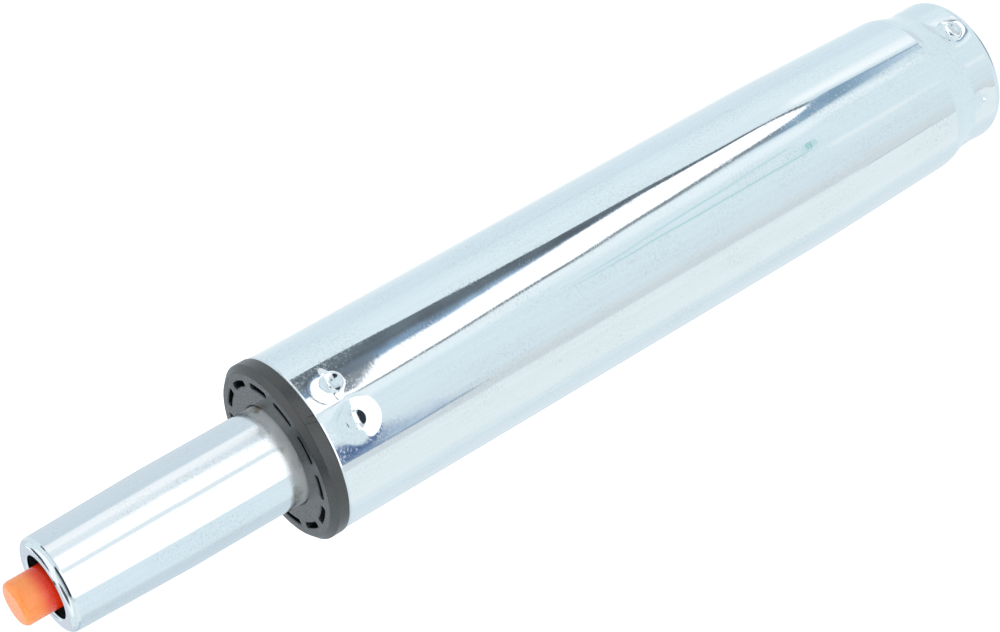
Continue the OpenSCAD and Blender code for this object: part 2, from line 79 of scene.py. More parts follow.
# Values between which Blender's noise mostly stays
FAINT, STRONG = 0.3, 0.7
LOG = logging.getLogger("gas_lift")

# Blender's names of the nodes that are used most
MATH, RANGE, MIX = "ShaderNodeMath", "ShaderNodeMapRange", "ShaderNodeMix"
NOISE, MAPPING, BUMP = "ShaderNodeTexNoise", "ShaderNodeMapping", "ShaderNodeBump"

Node = bpy.types.Node
Tree = bpy.types.NodeTree
Socket = bpy.types.NodeSocket
Piece = bpy.types.Object
Point = tuple[float, float]
Corner = tuple[float, float, float]
Inputs = dict[str, object] | Sequence[object]


# Shared helpers


def linear(hex_colour: str, gain: float = 1.0) -> tuple[float, float, float, float]:
    """Turns an sRGB hex colour into linear red, green, blue and alpha.

    Args:
        hex_colour: Colour such as "#dfe9ef".
        gain: Factor on the linear colour, above 1 for a lit card.

    Returns:
        Linear colour with alpha 1.
    """
    parts = [int(hex_colour[i : i + 2], 16) / 255 for i in (1, 3, 5)]
    flat = [p / 12.92 if p <= 0.04045 else ((p + 0.055) / 1.055) ** 2.4 for p in parts]
    return (flat[0] * gain, flat[1] * gain, flat[2] * gain, 1.0)


def add(tree: Tree, kind: str, inputs: Inputs = (), **settings: object) -> Node:
    """Adds a node with its settings, and fills or links its inputs.

    Args:
        tree: Node tree that takes the node.
        kind: Blender's type name of the node.
        inputs: Number, colour, socket or node for each input, by name or in the order of the inputs in use.
            A node stands for its first output in use.
        **settings: Properties of the node, by name.

    Returns:
        The new node.
    """
    node = tree.nodes.new(kind)
    for name, value in settings.items():
        setattr(node, name, value)
    named = isinstance(inputs, dict)
    ends = [node.inputs[name] for name in inputs] if named else [end for end in node.inputs if end.enabled]
    for end, value in zip(ends, inputs.values() if named else inputs):
        if isinstance(value, Node):
            value = next(out for out in value.outputs if out.enabled)
        if isinstance(value, Socket):
            tree.links.new(value, end)
        else:
            end.default_value = value
    return node


def cleared(owner: bpy.types.Material | bpy.types.World) -> Tree:
    """Gives the node tree of a new material or world, without Blender's own nodes."""
    owner.use_nodes = True
    owner.node_tree.nodes.clear()
    return owner.node_tree


def polar(r: float, angle: float, z: float) -> Corner:
    """Gives the point in metres at a radius and height in millimetres."""
    return (r * MM * math.cos(angle), r * MM * math.sin(angle), z * MM)


def rounded(corners: Sequence[Corner], steps: int) -> list[Point]:
    """Rounds the corners of a closed section.

    Args:
        corners: Radius, height and rounding of each corner, in millimetres.
        steps: Number of chords in each rounding.

    Returns:
        Radius and height of each point of the section.
    """
    points: list[Point] = []
    for i, (r, z, fillet) in enumerate(corners):
        here = Vector((r, z))
        if fillet == 0:
            points.append((r, z))
            continue
        back = (Vector(corners[i - 1][:2]) - here).normalized()
        on = (Vector(corners[(i + 1) % len(corners)][:2]) - here).normalized()
        half = back.angle(on) / 2
        centre = here + (back + on).normalized() * (fillet / math.sin(half))
        start = here + back * (fillet / math.tan(half)) - centre
        turn = start.angle_signed(here + on * (fillet / math.tan(half)) - centre)
        for k in range(steps + 1):
            a = -turn * k / steps
            x = start.x * math.cos(a) - start.y * math.sin(a)
            y = start.x * math.sin(a) + start.y * math.cos(a)
            points.append((centre.x + x, centre.y + y))
    return points


def divided(line: Sequence[Point], low: float, high: float, step: float) -> list[Point]:
    """Adds points to a line between two heights, for what is pressed into it.

    Args:
        line: Radius and height of each point, going up.
        low: Lowest height that gets points.
        high: Highest height that gets points.
        step: Greatest height between two points.

    Returns:
        The line with the added points.
    """
    points: list[Point] = []
    for (r, z), (end_r, end_z) in zip(line, line[1:]):
        points.append((r, z))
        start, stop = max(low, z), min(high, end_z)
        if stop - start >= step:
            cuts = math.ceil((stop - start) / step)
            heights = [start + (stop - start) * k / cuts for k in range(cuts + 1)]
            inner = [h for h in heights if z + TINY < h < end_z - TINY]
            points += [(r + (end_r - r) * (h - z) / (end_z - z), h) for h in inner]
    points.append(line[-1])
    return points


def braced(section: Sequence[Point], inset: float = 0.2) -> list[Point]:
    """Adds a point near both ends of each long straight run, so that smooth shading leaves the run flat.

    Args:
        section: Radius and height of each point of a closed section.
        inset: Distance of the added points from the ends.

    Returns:
        The section with the added points.
    """
    points: list[Point] = []
    for (r, z), (end_r, end_z) in zip(section, [*section[1:], section[0]]):
        points.append((r, z))
        length = math.hypot(end_r - r, end_z - z)
        if length > 6 * inset and max(r, end_r) > TINY:
            shares = (inset / length, 1 - inset / length)
            points += [(r + (end_r - r) * k, z + (end_z - z) * k) for k in shares]
    return points


def turned(name: str, section: Sequence[Point], segments: int) -> Piece:
    """Turns a closed section round the Z axis into a smooth object.

    Args:
        name: Name of the object.
        section: Radius and height of each point, up the outside and down the inside, in millimetres.
        segments: Number of faces round the axis.

    Returns:
        The object, linked to the scene.
    """
    shape = bmesh.new()
    rings: list[list[bmesh.types.BMVert]] = []
    for r, z in braced(section):
        if r < TINY:
            rings.append([shape.verts.new(polar(0, 0, z))] * segments)
            continue
        rings.append([shape.verts.new(polar(r, 2 * math.pi * j / segments, z)) for j in range(segments)])
    for i, ring in enumerate(rings):
        above = rings[(i + 1) % len(rings)]
        for j in range(segments):
            k = (j + 1) % segments
            corners = list(dict.fromkeys((ring[j], ring[k], above[k], above[j])))
            if len(corners) > 2:
                shape.faces.new(corners)
    return meshed(name, shape)


def meshed(name: str, shape: bmesh.types.BMesh) -> Piece:
    """Turns finished mesh code into an object, and frees it."""
    mesh = bpy.data.meshes.new(name)
    shape.to_mesh(mesh)
    shape.free()
    return smooth(name, mesh)


def smooth(name: str, mesh: bpy.types.Mesh) -> Piece:
    """Shows a mesh as a smooth object whose real edges stay sharp."""
    mesh.name = name
    mesh.shade_smooth()
    mesh.set_sharp_from_angle(angle=SHARP)
    return linked(name, mesh)


def linked(name: str, data: bpy.types.ID) -> Piece:
    """Puts a mesh, lamp or camera into the scene."""
    thing = bpy.data.objects.new(name, data)
    bpy.context.scene.collection.objects.link(thing)
    return thing


def shaped(name: str, base: Piece, steps: Iterable[tuple[Tree, dict[str, object]]]) -> Piece:
    """Runs geometry trees on an object and keeps the result as a plain mesh in its place.

    Args:
        name: Name of the finished piece.
        base: Object that the trees start from. It is removed.
        steps: Each tree with its sizes, by the name of the input.

    Returns:
        The finished piece.
    """
    for tree, sizes in steps:
        modifier = base.modifiers.new(tree.name, "NODES")
        modifier.node_group = tree
        for socket in tree.interface.items_tree:
            if socket.item_type == "SOCKET" and socket.name in sizes:
                modifier[socket.identifier] = sizes[socket.name]
    bpy.context.view_layer.update()
    result = base.evaluated_get(bpy.context.evaluated_depsgraph_get())
    mesh = bpy.data.meshes.new_from_object(result)
    base.modifiers.clear()
    old = base.data
    bpy.data.objects.remove(base)
    bpy.data.meshes.remove(old)
    return smooth(name, mesh)


# Geometry trees


def geometry_tree(name: str, sockets: dict[str, str]) -> tuple[Tree, Node]:
    """Starts a geometry tree with named inputs.

    Args:
        name: Name of the tree.
        sockets: Kind of each input between the geometry and the material, by its name.

    Returns:
        The tree and its input node.
    """
    tree = bpy.data.node_groups.new(name, "GeometryNodeTree")
    for label, kind in ({"Geometry": "Geometry"} | sockets | {"Material": "Material"}).items():
        tree.interface.new_socket(label, in_out="INPUT", socket_type=f"NodeSocket{kind}")
    tree.interface.new_socket("Geometry", in_out="OUTPUT", socket_type="NodeSocketGeometry")
    return tree, add(tree, "NodeGroupInput")


def close(tree: Tree, given: Node, geometry: Node) -> Tree:
    """Ends a geometry tree in real geometry that wears its material.

    Args:
        tree: Tree to end.
        given: Its input node.
        geometry: Node that makes the last shape.

    Returns:
        The tree.
    """
    real = add(tree, "GeometryNodeRealizeInstances", [geometry])
    dressed = {"Geometry": real, "Material": given.outputs["Material"]}
    add(tree, "NodeGroupOutput", [add(tree, "GeometryNodeSetMaterial", dressed)])
    return tree


def crimp_tree() -> Tree:
    """Builds the tree that presses a ring of round crimps into a tube's wall.

    Returns:
        Tree with the inputs Count, Turn, Wall, Height, Punch, Depth, Bowl, Sink, Drag, Squeeze and Material.
    """
    names = ("Turn", "Wall", "Height", "Punch", "Depth", "Bowl", "Sink", "Drag", "Squeeze")
    tree, given = geometry_tree("Pressed crimps", {"Count": "Int"} | dict.fromkeys(names, "Float"))
    turn, wall, height, punch, depth, bowl, sink, drag, squeeze = (given.outputs[name] for name in names)
    ring = add(tree, "GeometryNodeMeshCircle", {"Vertices": given.outputs["Count"], "Radius": wall})
    lift = add(tree, "ShaderNodeCombineXYZ", {"Z": height})
    spin = add(tree, "ShaderNodeCombineXYZ", {"Z": turn})
    spots = add(tree, "GeometryNodeTransform", {"Geometry": ring, "Translation": lift, "Rotation": spin})
    away = add(tree, "GeometryNodeProximity", {"Geometry": spots}, target_element="POINTS")
    # The bowl's middle lies higher than the punch, and its lower half can be squeezed together
    place = add(tree, "GeometryNodeInputPosition")
    x, y, z = add(tree, "ShaderNodeSeparateXYZ", [place]).outputs
    lowered = add(tree, MATH, [z, drag], operation="SUBTRACT")
    above = add(tree, MATH, [lowered, height], operation="SUBTRACT")
    below = add(tree, MATH, [above, 0.0, 2 * MM], operation="SMOOTH_MIN")
    stretched = add(tree, MATH, [below, squeeze, lowered], operation="MULTIPLY_ADD")
    moved = {"Geometry": spots, "Sample Position": add(tree, "ShaderNodeCombineXYZ", [x, y, stretched])}
    aside = add(tree, "GeometryNodeProximity", moved, target_element="POINTS")
    # The ball-ended punch leaves its own shape, and drags the wall round it into a shallow bowl
    distance = away.outputs["Distance"]
    square = add(tree, MATH, [distance, distance], operation="MULTIPLY")
    ball = add(tree, MATH, [punch, punch], operation="MULTIPLY")
    under = add(tree, MATH, [ball, square], operation="SUBTRACT")
    held = add(tree, MATH, [under, 0.0], operation="MAXIMUM")
    tip = add(tree, MATH, [held], operation="SQRT")
    start = add(tree, MATH, [depth, punch], operation="SUBTRACT")
    dent = add(tree, MATH, [tip, start], operation="ADD")
    eased = add(tree, MATH, [dent, 0.0, 0.06 * MM], operation="SMOOTH_MAX")
    sunk = [aside.outputs["Distance"], 0.0, bowl, sink, 0.0]
    dish = add(tree, RANGE, sunk, interpolation_type="SMOOTHERSTEP")
    total = add(tree, MATH, [eased, dish], operation="ADD")
    flat = add(tree, "ShaderNodeVectorMath", [place, (-1, -1, 0)], operation="MULTIPLY")
    inward = add(tree, "ShaderNodeVectorMath", [flat], operation="NORMALIZE")
    push = add(tree, "ShaderNodeVectorMath", [inward, total], operation="SCALE")
    return close(tree, given, add(tree, "GeometryNodeSetPosition", {"Geometry": given, "Offset": push}))


@cache
def copies_tree() -> Tree:
    """Builds the tree that sets copies of a unit evenly round the Z axis.

    Returns:
        Tree with the inputs Count and Material.
    """
    tree, given = geometry_tree("Copies round the axis", {"Count": "Int"})
    spots = add(tree, "GeometryNodePoints", [given.outputs["Count"]])
    step = add(tree, MATH, [math.tau, given.outputs["Count"]], operation="DIVIDE")
    angle = add(tree, MATH, [add(tree, "GeometryNodeInputIndex"), step], operation="MULTIPLY")
    turn = add(tree, "ShaderNodeCombineXYZ", {"Z": angle})
    copies = {"Points": spots, "Instance": given, "Rotation": turn}
    return close(tree, given, add(tree, "GeometryNodeInstanceOnPoints", copies))


def cut_tree() -> Tree:
    """Builds the tree that cuts one object's shape out of a body.

    Returns:
        Tree with the inputs Cutter and Material.
    """
    tree, given = geometry_tree("Cut out", {"Cutter": "Object"})
    cutter = add(tree, "GeometryNodeObjectInfo", [given.outputs["Cutter"]])
    shapes = {"Mesh 1": given, "Mesh 2": cutter.outputs["Geometry"]}
    left = add(tree, "GeometryNodeMeshBoolean", shapes, operation="DIFFERENCE", solver="EXACT")
    return close(tree, given, left)


# Finishes


def grain(tree: Tree, where: Socket, width_mm: float, detail: float = 2.0, stretch: float = 1.0) -> Node:
    """Lays noise from 0 to 1 over a surface at a real size.

    Args:
        tree: Tree of the material.
        where: Coordinates in metres.
        width_mm: Width of one blot of the noise.
        detail: Octaves of finer noise.
        stretch: Length of a blot along the axis, in widths.

    Returns:
        The noise.
    """
    scale = 1 / (width_mm * MM)
    spot = add(tree, MAPPING, {"Vector": where, "Scale": (scale, scale, scale / stretch)})
    return add(tree, NOISE, {"Vector": spot, "Scale": 1.0, "Detail": detail})


@dataclass(frozen=True)
class Finish:
    """Finish of one real stock, whose second colour shows through the first in places."""

    name: str
    colour: str
    second: str

    def build(self) -> bpy.types.Material:
        """Builds the material.

        Returns:
            Material with one shader, laid out on the piece's own coordinates.
        """
        material = bpy.data.materials.new(self.name)
        tree = cleared(material)
        where = add(tree, "ShaderNodeTexCoord").outputs["Object"]
        shader = add(tree, "ShaderNodeBsdfPrincipled", self.surface(tree, where))
        add(tree, "ShaderNodeOutputMaterial", [shader])
        return material

    def surface(self, tree: Tree, where: Socket) -> dict[str, object]:
        """Gives the shader's inputs by name. Each kind of finish has its own."""
        raise NotImplementedError

    def tint(self, tree: Tree, share: Node) -> Node:
        """Mixes a share of the second colour into the first."""
        return add(tree, MIX, [share, linear(self.colour), linear(self.second)], data_type="RGBA")


@dataclass(frozen=True)
class ChromePlate(Finish):
    """Decorative chrome plate on drawn tube: a cool mirror that shows the tube's slow waves and fine haze."""

    name: str = "chrome_plate_on_drawn_steel"
    colour: str = "#e7eef3"
    second: str = "#dbe2e6"
    gloss: float = 0.04
    haze: float = 0.15
    # Haze that comes in clouds, never quite gone between them, and in the specks of a cloud.
    # A span holds the values of the noise between which something comes in
    cloud_mm: float = 8.0
    cloud_span: Point = (0.36, 0.66)
    cloud_least: float = 0.2
    speck_mm: float = 0.8
    speck_span: Point = (0.42, 0.72)
    peel_mm: float = 1.6
    peel_depth_mm: float = 0.0022
    wave_mm: float = 18.0
    wave_depth_mm: float = 0.05
    # Heights at which a ring of grease starts, is whole, thins and ends, where there is one
    ring: tuple[float, float, float, float] | None = None
    ragged_mm: float = 4.0
    smear_mm: float = 3.5
    dirt_mm: float = 5.0
    dirt_span: Point = (0.56, 0.72)
    grease: str = "#e9edee"
    dirty: str = "#a39c86"
    grease_rough: float = 0.4
    grease_metal: float = 0.72

    def surface(self, tree: Tree, where: Socket) -> dict[str, object]:
        """Lays out the plate.

        Args:
            tree: Tree of the material.
            where: Coordinates in metres.

        Returns:
            Inputs of the shader, by name.
        """
        blots = grain(tree, where, self.cloud_mm, detail=3.0, stretch=2.5)
        clouds = [blots, *self.cloud_span, self.cloud_least, 1.0]
        cloud = add(tree, RANGE, clouds, interpolation_type="SMOOTHSTEP")
        dots = grain(tree, where, self.speck_mm, detail=3.0, stretch=0.6)
        specks = add(tree, RANGE, [dots, *self.speck_span], interpolation_type="SMOOTHSTEP")
        dull = add(tree, MATH, [cloud, specks], operation="MULTIPLY")
        rough = add(tree, RANGE, [dull, 0.0, 1.0, self.gloss, self.haze], interpolation_type="SMOOTHSTEP")
        waves = grain(tree, where, self.wave_mm, detail=1.0, stretch=3.0)
        slow = add(tree, BUMP, {"Height": waves, "Distance": self.wave_depth_mm * MM})
        skin = grain(tree, where, self.peel_mm, detail=1.0)
        peel = add(tree, BUMP, {"Height": skin, "Distance": self.peel_depth_mm * MM, "Normal": slow})
        plate = {"Base Color": self.tint(tree, dull), "Roughness": rough, "Metallic": 1.0, "Normal": peel}
        return plate | self.greased(tree, where, plate) if self.ring else plate

    def greased(self, tree: Tree, where: Socket, plate: dict[str, object]) -> dict[str, object]:
        """Lays a ring of grease from the bushing over the tube, which it blurs where it stands in the collar.

        Args:
            tree: Tree of the material.
            where: Coordinates in metres.
            plate: Inputs of the bare plate's shader.

        Returns:
            The inputs that the grease changes.
        """
        start, whole, thin, end = (height * MM for height in self.ring)
        height = add(tree, "ShaderNodeSeparateXYZ", [where]).outputs["Z"]
        foot = add(tree, RANGE, [height, start, whole], interpolation_type="SMOOTHSTEP")
        smear = grain(tree, where, self.smear_mm, detail=3.0, stretch=0.7)
        ragged = add(tree, MATH, [smear, -self.ragged_mm * MM, height], operation="MULTIPLY_ADD")
        shift = self.ragged_mm * MM / 2
        top = add(tree, RANGE, [ragged, thin - shift, end - shift, 1.0, 0.0], interpolation_type="SMOOTHSTEP")
        film = add(tree, MATH, [top, foot], operation="MULTIPLY")
        spots = grain(tree, where, self.dirt_mm, detail=4.0)
        dirt = add(tree, RANGE, [spots, *self.dirt_span], interpolation_type="SMOOTHSTEP")
        soiled = add(tree, MIX, [dirt, linear(self.grease), linear(self.dirty)], data_type="RGBA")
        metal = add(tree, RANGE, [film, 0.0, 1.0, 1.0, self.grease_metal], interpolation_type="SMOOTHSTEP")
        return {
            "Base Color": add(tree, MIX, [film, plate["Base Color"], soiled], data_type="RGBA"),
            "Roughness": add(tree, MIX, [film, plate["Roughness"], self.grease_rough]),
            "Metallic": metal,
        }


@dataclass(frozen=True)
class Satin(Finish):
    """Finish with soft blots of its second colour, and a grain that breaks up its gloss."""

    rough: float
    metal: float = 1.0
    grain_mm: float = 0.5
    grain_depth_mm: float = 0.006
    # How far the grain takes the roughness down and up
    rough_span: Point = (0.08, 0.08)
    blot_mm: float = 1.6
    blot_detail: float = 4.0
    # Values of the noise between which a blot comes in
    blot_span: Point = (0.35, 0.65)

    def surface(self, tree: Tree, where: Socket) -> dict[str, object]:
        """Lays out the blots and the grain.

        Args:
            tree: Tree of the material.
            where: Coordinates in metres.

        Returns:
            Inputs of the shader, by name.
        """
        blots = grain(tree, where, self.blot_mm, detail=self.blot_detail)
        share = add(tree, RANGE, [blots, *self.blot_span], interpolation_type="SMOOTHSTEP")
        skin = self.skin(tree, where)
        gloss = [skin, FAINT, STRONG, self.rough - self.rough_span[0], self.rough + self.rough_span[1]]
        return {
            "Base Color": self.tint(tree, share),
            "Roughness": add(tree, RANGE, gloss, interpolation_type="SMOOTHSTEP"),
            "Normal": add(tree, BUMP, {"Height": skin, "Distance": self.grain_depth_mm * MM}),
            "Metallic": self.metal,
        }

    def skin(self, tree: Tree, where: Socket) -> Node:
        """Gives the grain's relief, from 0 to 1."""
        return grain(tree, where, self.grain_mm)


@dataclass(frozen=True)
class StampedSteel(Satin):
    """Pressed sheet steel under zinc or phosphate: a dull, faintly mottled metal with a tumbled grain."""


@dataclass(frozen=True)
class MouldedPlastic(Satin):
    """Injection-moulded plastic: even colour with a soft skin that the mould's fine grain breaks up."""

    metal: float = 0.0
    grain_mm: float = 0.35
    grain_depth_mm: float = 0.012
    rough_span: Point = (0.05, 0.06)
    blot_mm: float = 7.0
    blot_detail: float = 3.0
    blot_span: Point = (0.35, 0.7)
    level: float = 0.5
    ior: float = 1.5
    glow: float = 0.0
    # How far red, green and blue light wander inside it, against the depth below
    glow_spread: Corner = (1.0, 0.35, 0.15)
    glow_depth_mm: float = 1.5
    # Painted shade: a darker colour mixed in low down, where little light gets in, and the heights between which
    # it goes over
    deep: str = ""
    deep_span: Point = (0.0, 1.0)

    def surface(self, tree: Tree, where: Socket) -> dict[str, object]:
        """Lays out the plastic, with the light inside it and the painted shade of its darker colour low down.

        Args:
            tree: Tree of the material.
            where: Coordinates in metres.

        Returns:
            Inputs of the shader, by name.
        """
        inputs = super().surface(tree, where) | {"Specular IOR Level": self.level, "IOR": self.ior}
        # Painted shade: the colour turns darker and redder low down, where the tip's opening shades it
        if self.deep:
            height = add(tree, "ShaderNodeSeparateXYZ", [where]).outputs["Z"]
            low, high = (end * MM for end in self.deep_span)
            down = add(tree, RANGE, [height, low, high, 1.0, 0.0], interpolation_type="SMOOTHSTEP")
            both = [down, inputs["Base Color"], linear(self.deep)]
            inputs["Base Color"] = add(tree, MIX, both, data_type="RGBA")
        if self.glow:
            inputs |= {"Subsurface Weight": self.glow, "Subsurface Radius": self.glow_spread}
            inputs["Subsurface Scale"] = self.glow_depth_mm * MM
        return inputs


@dataclass(frozen=True)
class TurnedMetal(Satin):
    """Metal from the lathe or centreless grinder: fine rings round the axis that stretch its highlights."""

    grain_mm: float = 0.16
    grain_depth_mm: float = 0.0012
    rough_span: Point = (0.06, 0.08)
    blot_mm: float = 5.0
    blot_detail: float = 3.0
    blot_span: Point = (0.45, 0.75)

    def skin(self, tree: Tree, where: Socket) -> Node:
        """Gives the relief of the tool's rings: round the axis on a wall, and one in another on a face.

        Args:
            tree: Tree of the material.
            where: Coordinates in metres.

        Returns:
            The relief, from 0 to 1.
        """
        height = add(tree, "ShaderNodeSeparateXYZ", [where]).outputs["Z"]
        across = add(tree, "ShaderNodeVectorMath", [where, (1, 1, 0)], operation="MULTIPLY")
        radius = add(tree, "ShaderNodeVectorMath", [across], operation="LENGTH")
        path = add(tree, MATH, [height, radius], operation="ADD")
        turn = add(tree, MATH, [path, 1 / (self.grain_mm * MM)], operation="MULTIPLY")
        return add(tree, NOISE, {"W": turn, "Scale": 1.0, "Detail": 2.0}, noise_dimensions="1D")


class Stock(Enum):
    """Finish of each material slot in the record."""

    column_chrome = ChromePlate()
    tube_chrome = ChromePlate(
        "chrome_plate_on_precision_tube", gloss=0.09, peel_mm=0.9, ring=(233.0, 237.0, 242.0, 248.0)
    )
    # Glass-filled nylon: dark grey and silky, pale where light grazes it
    bushing_plastic = MouldedPlastic("glass_filled_nylon", "#15191b", "#1c2022", 0.3, level=1.0, ior=1.52)
    # Black nylon: dead dark, only its edges catch light
    black_plastic = MouldedPlastic("black_nylon", "#141517", "#1c1d20", 0.45)
    # Natural acetal: milky, a little waxy
    natural_plastic = MouldedPlastic("natural_acetal", "#d8d3c2", "#cfc8b4", 0.38, glow=0.1)
    # Orange acetal: waxy and saturated. The light inside it and a painted shade low down turn it redder towards
    # the tip's dark opening
    button_plastic = MouldedPlastic(
        "orange_acetal",
        "#fe9046",
        "#fe984f",
        0.24,
        grain_depth_mm=0.004,
        level=0.7,
        glow=0.3,
        deep="#ec3508",
        deep_span=(310.8, 315.2),
    )
    # Nitrile rubber: black, fully matt
    black_rubber = MouldedPlastic("nitrile_rubber", "#1a1a1b", "#222223", 0.75, grain_mm=0.6)
    # Turned carbon steel: grey with clear tool rings
    plate_steel = TurnedMetal("turned_carbon_steel", "#9a9ea3", "#85888c", 0.34)
    # Through-hardened bearing steel: ground almost to a mirror
    bearing_steel = TurnedMetal("ground_bearing_steel", "#b9bdc1", "#aaaeb3", 0.14, grain_mm=0.08)
    # Hard chrome on the rod: a fine ground mirror
    rod_steel = TurnedMetal("hard_chromed_rod", "#ccd1d5", "#bfc4c9", 0.12, grain_mm=0.06)
    # Turned aluminium: pale, satin
    piston_aluminium = TurnedMetal("turned_aluminium", "#c9cbce", "#bcbec1", 0.28)
    valve_aluminium = TurnedMetal("turned_valve_aluminium", "#cdcfd2", "#bdbfc3", 0.25)
    # Zinc-plated washers: bluish grey, softly mottled
    washer_steel = StampedSteel("zinc_plated_sheet", "#a9aeb4", "#969ba2", 0.38)
    # Phosphated spring steel: near black with a dull sheen
    clip_steel = StampedSteel("phosphated_spring_steel", "#4a4c50", "#3b3c3f", 0.5, metal=0.8)

    @cache
    def material(self) -> bpy.types.Material:
        """Gives the material of the slot, built when first asked for."""
        return self.value.build()


# Pieces


def seat(piece: Piece, stock: Stock, body: str, node: str) -> None:
    """Dresses a piece, seats it on its body and hides the CAD node that it stands for.

    Args:
        piece: The finished piece.
        stock: Material slot of the record.
        body: CAD body that carries the piece.
        node: CAD node that it replaces.
    """
    piece.data.materials.clear()
    piece.data.materials.append(stock.material())
    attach(piece, body)
    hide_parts(node)
    LOG.info("%s: %d faces, %s, on %s", piece.name, len(piece.data.polygons), stock.name, body)


@dataclass(frozen=True)
class CrimpRing:
    """Crimps evenly round a wall, pressed by a ball-ended punch."""

    turn: float
    wall: float
    height: float
    punch: float
    depth: float
    bowl: float
    sink: float
    drag: float = 0.0
    squeeze: float = 0.0
    count: int = 3

    def sizes(self) -> dict[str, float]:
        """Gives the inputs of the crimp tree, in metres and radians."""
        plain = {"Count": self.count, "Turn": math.radians(self.turn), "Squeeze": self.squeeze}
        lengths = ("wall", "height", "punch", "depth", "bowl", "sink", "drag")
        return plain | {name.title(): getattr(self, name) * MM for name in lengths}


@dataclass
class ColumnAssembly:
    """Chromed column with its crimps, and the bushing whose collar closes its top."""

    radius: float = 25.0
    wall: float = 1.5
    length: float = 236.6
    cone_top: float = 67.0
    cone_taper: float = 0.025
    # Half the length over which drawing leaves the taper to run out into the straight wall
    run_out: float = 12.0
    foot_radius: float = 21.7
    foot_height: float = 11.0
    neck_height: float = 10.0
    foot_opening: float = 16.0
    foot_rounding: float = 2.5
    front: float = -90.0
    crimp_spread: float = 26.0
    bushing_crimp_height: float = 227.5
    plate_crimp_height: float = 7.9
    plate_crimp_turn: float = 17.5
    # Faces round the column, and heights of its rows of faces where it is crimped
    segments: int = 448
    crimp_reach: float = 9.0
    crimp_row: float = 0.36
    foot_rows_top: float = 15.0
    foot_row: float = 0.45
    collar_radius: float = 25.3
    collar_rim: float = 3.4
    collar_bevel: Point = (1.7, 1.6)
    bushing_radius: float = 23.4
    bushing_bottom: float = 156.0
    bushing_segments: int = 240
    bore: float = 14.05
    mouth: float = 0.5
    slots: int = 12
    slot_middle: float = 20.5
    slot_width: float = 1.7
    slot_angle: float = 21.9
    slot_chamfer: float = 0.25
    # Power of the curve of a slot's ends, a little squarer than the 2 of a half circle
    slot_squareness: float = 2.6
    deck: float = 6.0
    pocket: Point = (17.05, 21.6)
    rib_width: float = 1.6
    seam_width: float = 0.34
    seam_depth: float = 0.27
    seam_lean: float = 14.0
    # Length, height over the rim's middle and turn off the front of each line of the mould's seam
    seams: tuple[Corner, ...] = ((3.0, 0.2, -2.0), (1.5, -0.75, 1.4))

    @property
    def face(self) -> float:
        """Height of the collar's flat face."""
        return self.length + self.collar_rim + self.collar_bevel[1]

    def column_radius(self, z: float) -> float:
        """Gives the outer radius of the column above the foot's rounding.

        Args:
            z: Height above the foot.

        Returns:
            The radius.
        """
        cone_bottom = self.foot_height + self.neck_height
        small = self.radius - (self.cone_top - cone_bottom) * self.cone_taper
        if z < cone_bottom:
            swing = (1 - math.cos(math.pi * max(0.0, z - self.foot_height) / self.neck_height)) / 2
            return self.foot_radius + (small - self.foot_radius) * swing
        gap = (self.cone_top - z) * self.cone_taper
        ease = self.run_out / 2 * self.cone_taper
        return self.radius - (gap + math.hypot(gap, ease)) / 2

    def build(self) -> None:
        """Makes both pieces."""
        self.build_shell()
        self.build_collar()

    def build_shell(self) -> None:
        """Makes the column's steel tube, tapered, drawn in at the foot and crimped."""
        neck = [self.foot_height + self.neck_height * k / 24 for k in range(25)]
        blend = [self.cone_top - self.run_out + 2 * self.run_out * k / 12 for k in range(13)]
        back = (self.cone_top, *reversed(neck[::4]))
        corners = [
            (self.foot_opening, 0.0, 0.5),
            (self.foot_radius, 0.0, self.foot_rounding),
            *((self.column_radius(z), z, 0.0) for z in (*neck, *blend)),
            (self.radius, self.length, 0.35),
            (self.radius - self.wall, self.length, 0.2),
            *((self.column_radius(z) - self.wall, z, 0.0) for z in back),
            (self.foot_radius - self.wall, self.wall, self.foot_rounding - self.wall),
            (self.foot_opening, self.wall, 0.5),
        ]
        section = rounded(corners, steps=8)
        rim = max(range(len(section)), key=lambda i: section[i][1])
        crimps_foot = self.bushing_crimp_height - self.crimp_reach
        outside = divided(section[: rim + 1], crimps_foot, self.length, self.crimp_row)
        outside = divided(outside, 0.0, self.foot_rows_top, self.foot_row)
        blank = turned("column_blank", [*outside, *section[rim + 1 :]], self.segments)
        press, chrome = crimp_tree(), Stock.column_chrome.material()
        steps = [(press, ring.sizes() | {"Material": chrome}) for ring in self.crimps()]
        seat(shaped("column_shell", blank, steps), Stock.column_chrome, "column", "outer_column")

    def crimps(self) -> list[CrimpRing]:
        """Gives the rings of crimps.

        Returns:
            Two rings that hold the bushing, then a deep and a small one that hold the plate in the foot.
        """
        left, right = (self.front + side * self.crimp_spread / 2 for side in (-1, 1))
        top = (self.radius, self.bushing_crimp_height)
        turn, foot = self.front + self.plate_crimp_turn, (self.foot_radius, self.plate_crimp_height)
        return [
            CrimpRing(left, *top, punch=5.6, depth=0.8, bowl=7.2, sink=0.5, drag=-0.6),
            CrimpRing(right, *top, punch=5.6, depth=0.8, bowl=6.2, sink=0.34, drag=1.0, squeeze=1.5),
            CrimpRing(turn, *foot, punch=7.0, depth=0.95, bowl=7.6, sink=0.34, drag=0.6),
            CrimpRing(turn + 60, *foot, punch=2.2, depth=0.4, bowl=4.6, sink=0.16),
        ]

